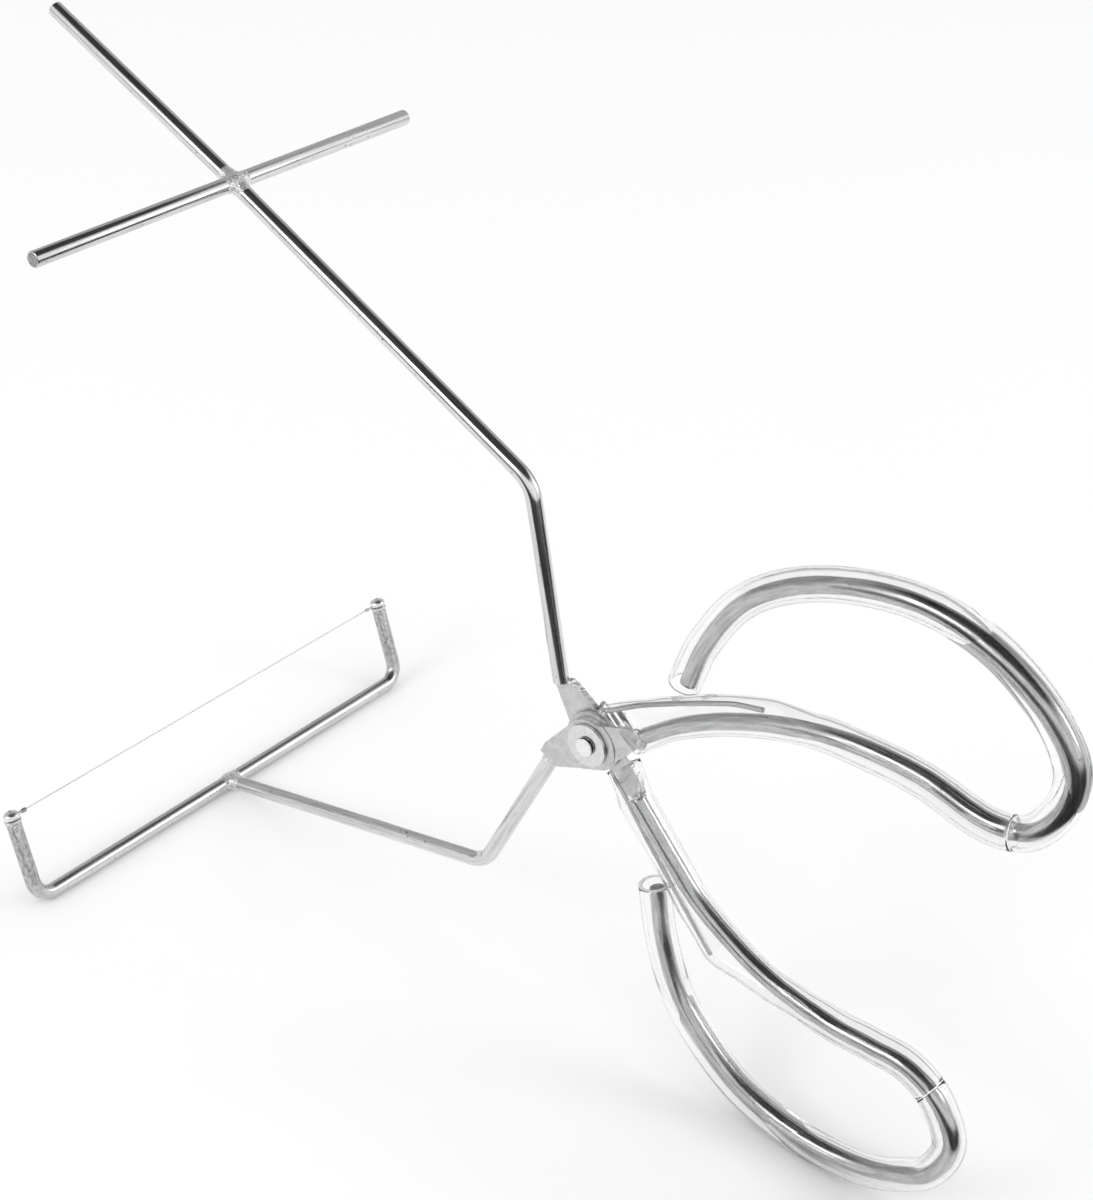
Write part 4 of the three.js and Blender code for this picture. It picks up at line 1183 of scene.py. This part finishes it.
# The photo's camera as fitted to the straight rods: its place from the pivot, and sizes in pixels
EYE = (313.006, -485.999, 442.736)
RIGHT = Vector((0.775716, 0.622649, 0.102821))
DOWN = Vector((0.420937, -0.389106, -0.819395))
AHEAD = Vector((-0.470187, 0.678899, -0.563932))
FOCAL_PIXELS = 2433.13
PHOTO_HEIGHT = 1200


def add_camera():
    data = bpy.data.cameras.new("camera")
    data.sensor_fit = "VERTICAL"
    data.sensor_height = 36
    data.lens = FOCAL_PIXELS * data.sensor_height / PHOTO_HEIGHT
    data.clip_start = 0.05
    data.clip_end = 20
    camera = bpy.data.objects.new("camera", data)
    turn = Matrix([[RIGHT[i], -DOWN[i], -AHEAD[i]] for i in range(3)]).to_4x4()
    camera.matrix_world = Matrix.Translation(place(*EYE)) @ turn
    bpy.context.scene.collection.objects.link(camera)
    bpy.context.scene.camera = camera


FLOOR_SIZE = 12
FLOOR_EDGE = 0.2
EDGE_WAY = Vector((0.8, -0.6, 0))


def add_floor():
    """A pale floor, just under the tongs. Its nearest edge puts the dark band on the lower jaw."""
    floor = add_shape(bpy.ops.mesh.primitive_plane_add, size=FLOOR_SIZE,
                      location=EDGE_WAY * (FLOOR_EDGE - FLOOR_SIZE / 2) - Vector((0, 0, 0.2)) * MM,
                      rotation=(0, 0, math.atan2(EDGE_WAY.y, EDGE_WAY.x)))
    floor.name = "floor"
    material = bpy.data.materials.new("floor")
    material.use_nodes = True
    tree = material.node_tree
    fill(tree, tree.nodes["Principled BSDF"], Base_Color=(0.99, 0.99, 0.99, 1), Roughness=0.9,
         Specular_IOR_Level=0.1)
    floor.data.materials.append(material)


LAMP_AIM = Vector((0, 0, 0.1))


def add_lamp(name, at, size, power):
    data = bpy.data.lights.new(name, "AREA")
    data.shape = "RECTANGLE"
    data.size, data.size_y = size
    data.energy = power
    lamp = bpy.data.objects.new(name, data)
    lamp.location = at
    lamp.rotation_euler = (LAMP_AIM - Vector(at)).to_track_quat("-Z", "Y").to_euler()
    bpy.context.scene.collection.objects.link(lamp)


ROOM_LIGHT = 0.9
CEILING = (0.62, 0.78)
HORIZON = (-0.02, 0.08)
GREY_CORNER = (0.15, 0.35)


def light_room():
    """Even white light on everything, and for what shines bright walls, greyer at the back left,
    under a dark ceiling."""
    world = bpy.data.worlds.new("room")
    bpy.context.scene.world = world
    world.use_nodes = True
    tree = world.node_tree
    tree.nodes.clear()
    direction = signal(tree, "ShaderNodeTexCoord", "Generated")
    right, back, height = (signal(tree, "ShaderNodeSeparateXYZ", axis, Vector=direction) for axis in "XYZ")
    back_left = back * 0.6 - right * 0.8
    walls = (1 - (height - back * 0.07).between(*CEILING)) * height.between(*HORIZON)
    walls = walls * (1 - back_left.between(*GREY_CORNER) * 0.55) * 1.05 + 0.04
    shining = signal(tree, "ShaderNodeLightPath", "Is Glossy Ray")
    lighting = signal(tree, "ShaderNodeLightPath", "Is Diffuse Ray")
    strength = shining * (walls - 1) + lighting * (ROOM_LIGHT - 1) + 1
    room = signal(tree, "ShaderNodeBackground", "Background", Color=(1, 1, 1, 1), Strength=strength)
    fill(tree, tree.nodes.new("ShaderNodeOutputWorld"), Surface=room)
    add_lamp("key", (-0.42, -1.45, 0.95), (0.7, 0.45), power=5)
    add_lamp("fill", (1.15, 1.0, 0.8), (0.6, 0.4), power=3)


add_camera()
add_floor()
light_room()
bpy.context.scene.view_settings.view_transform = "Standard"
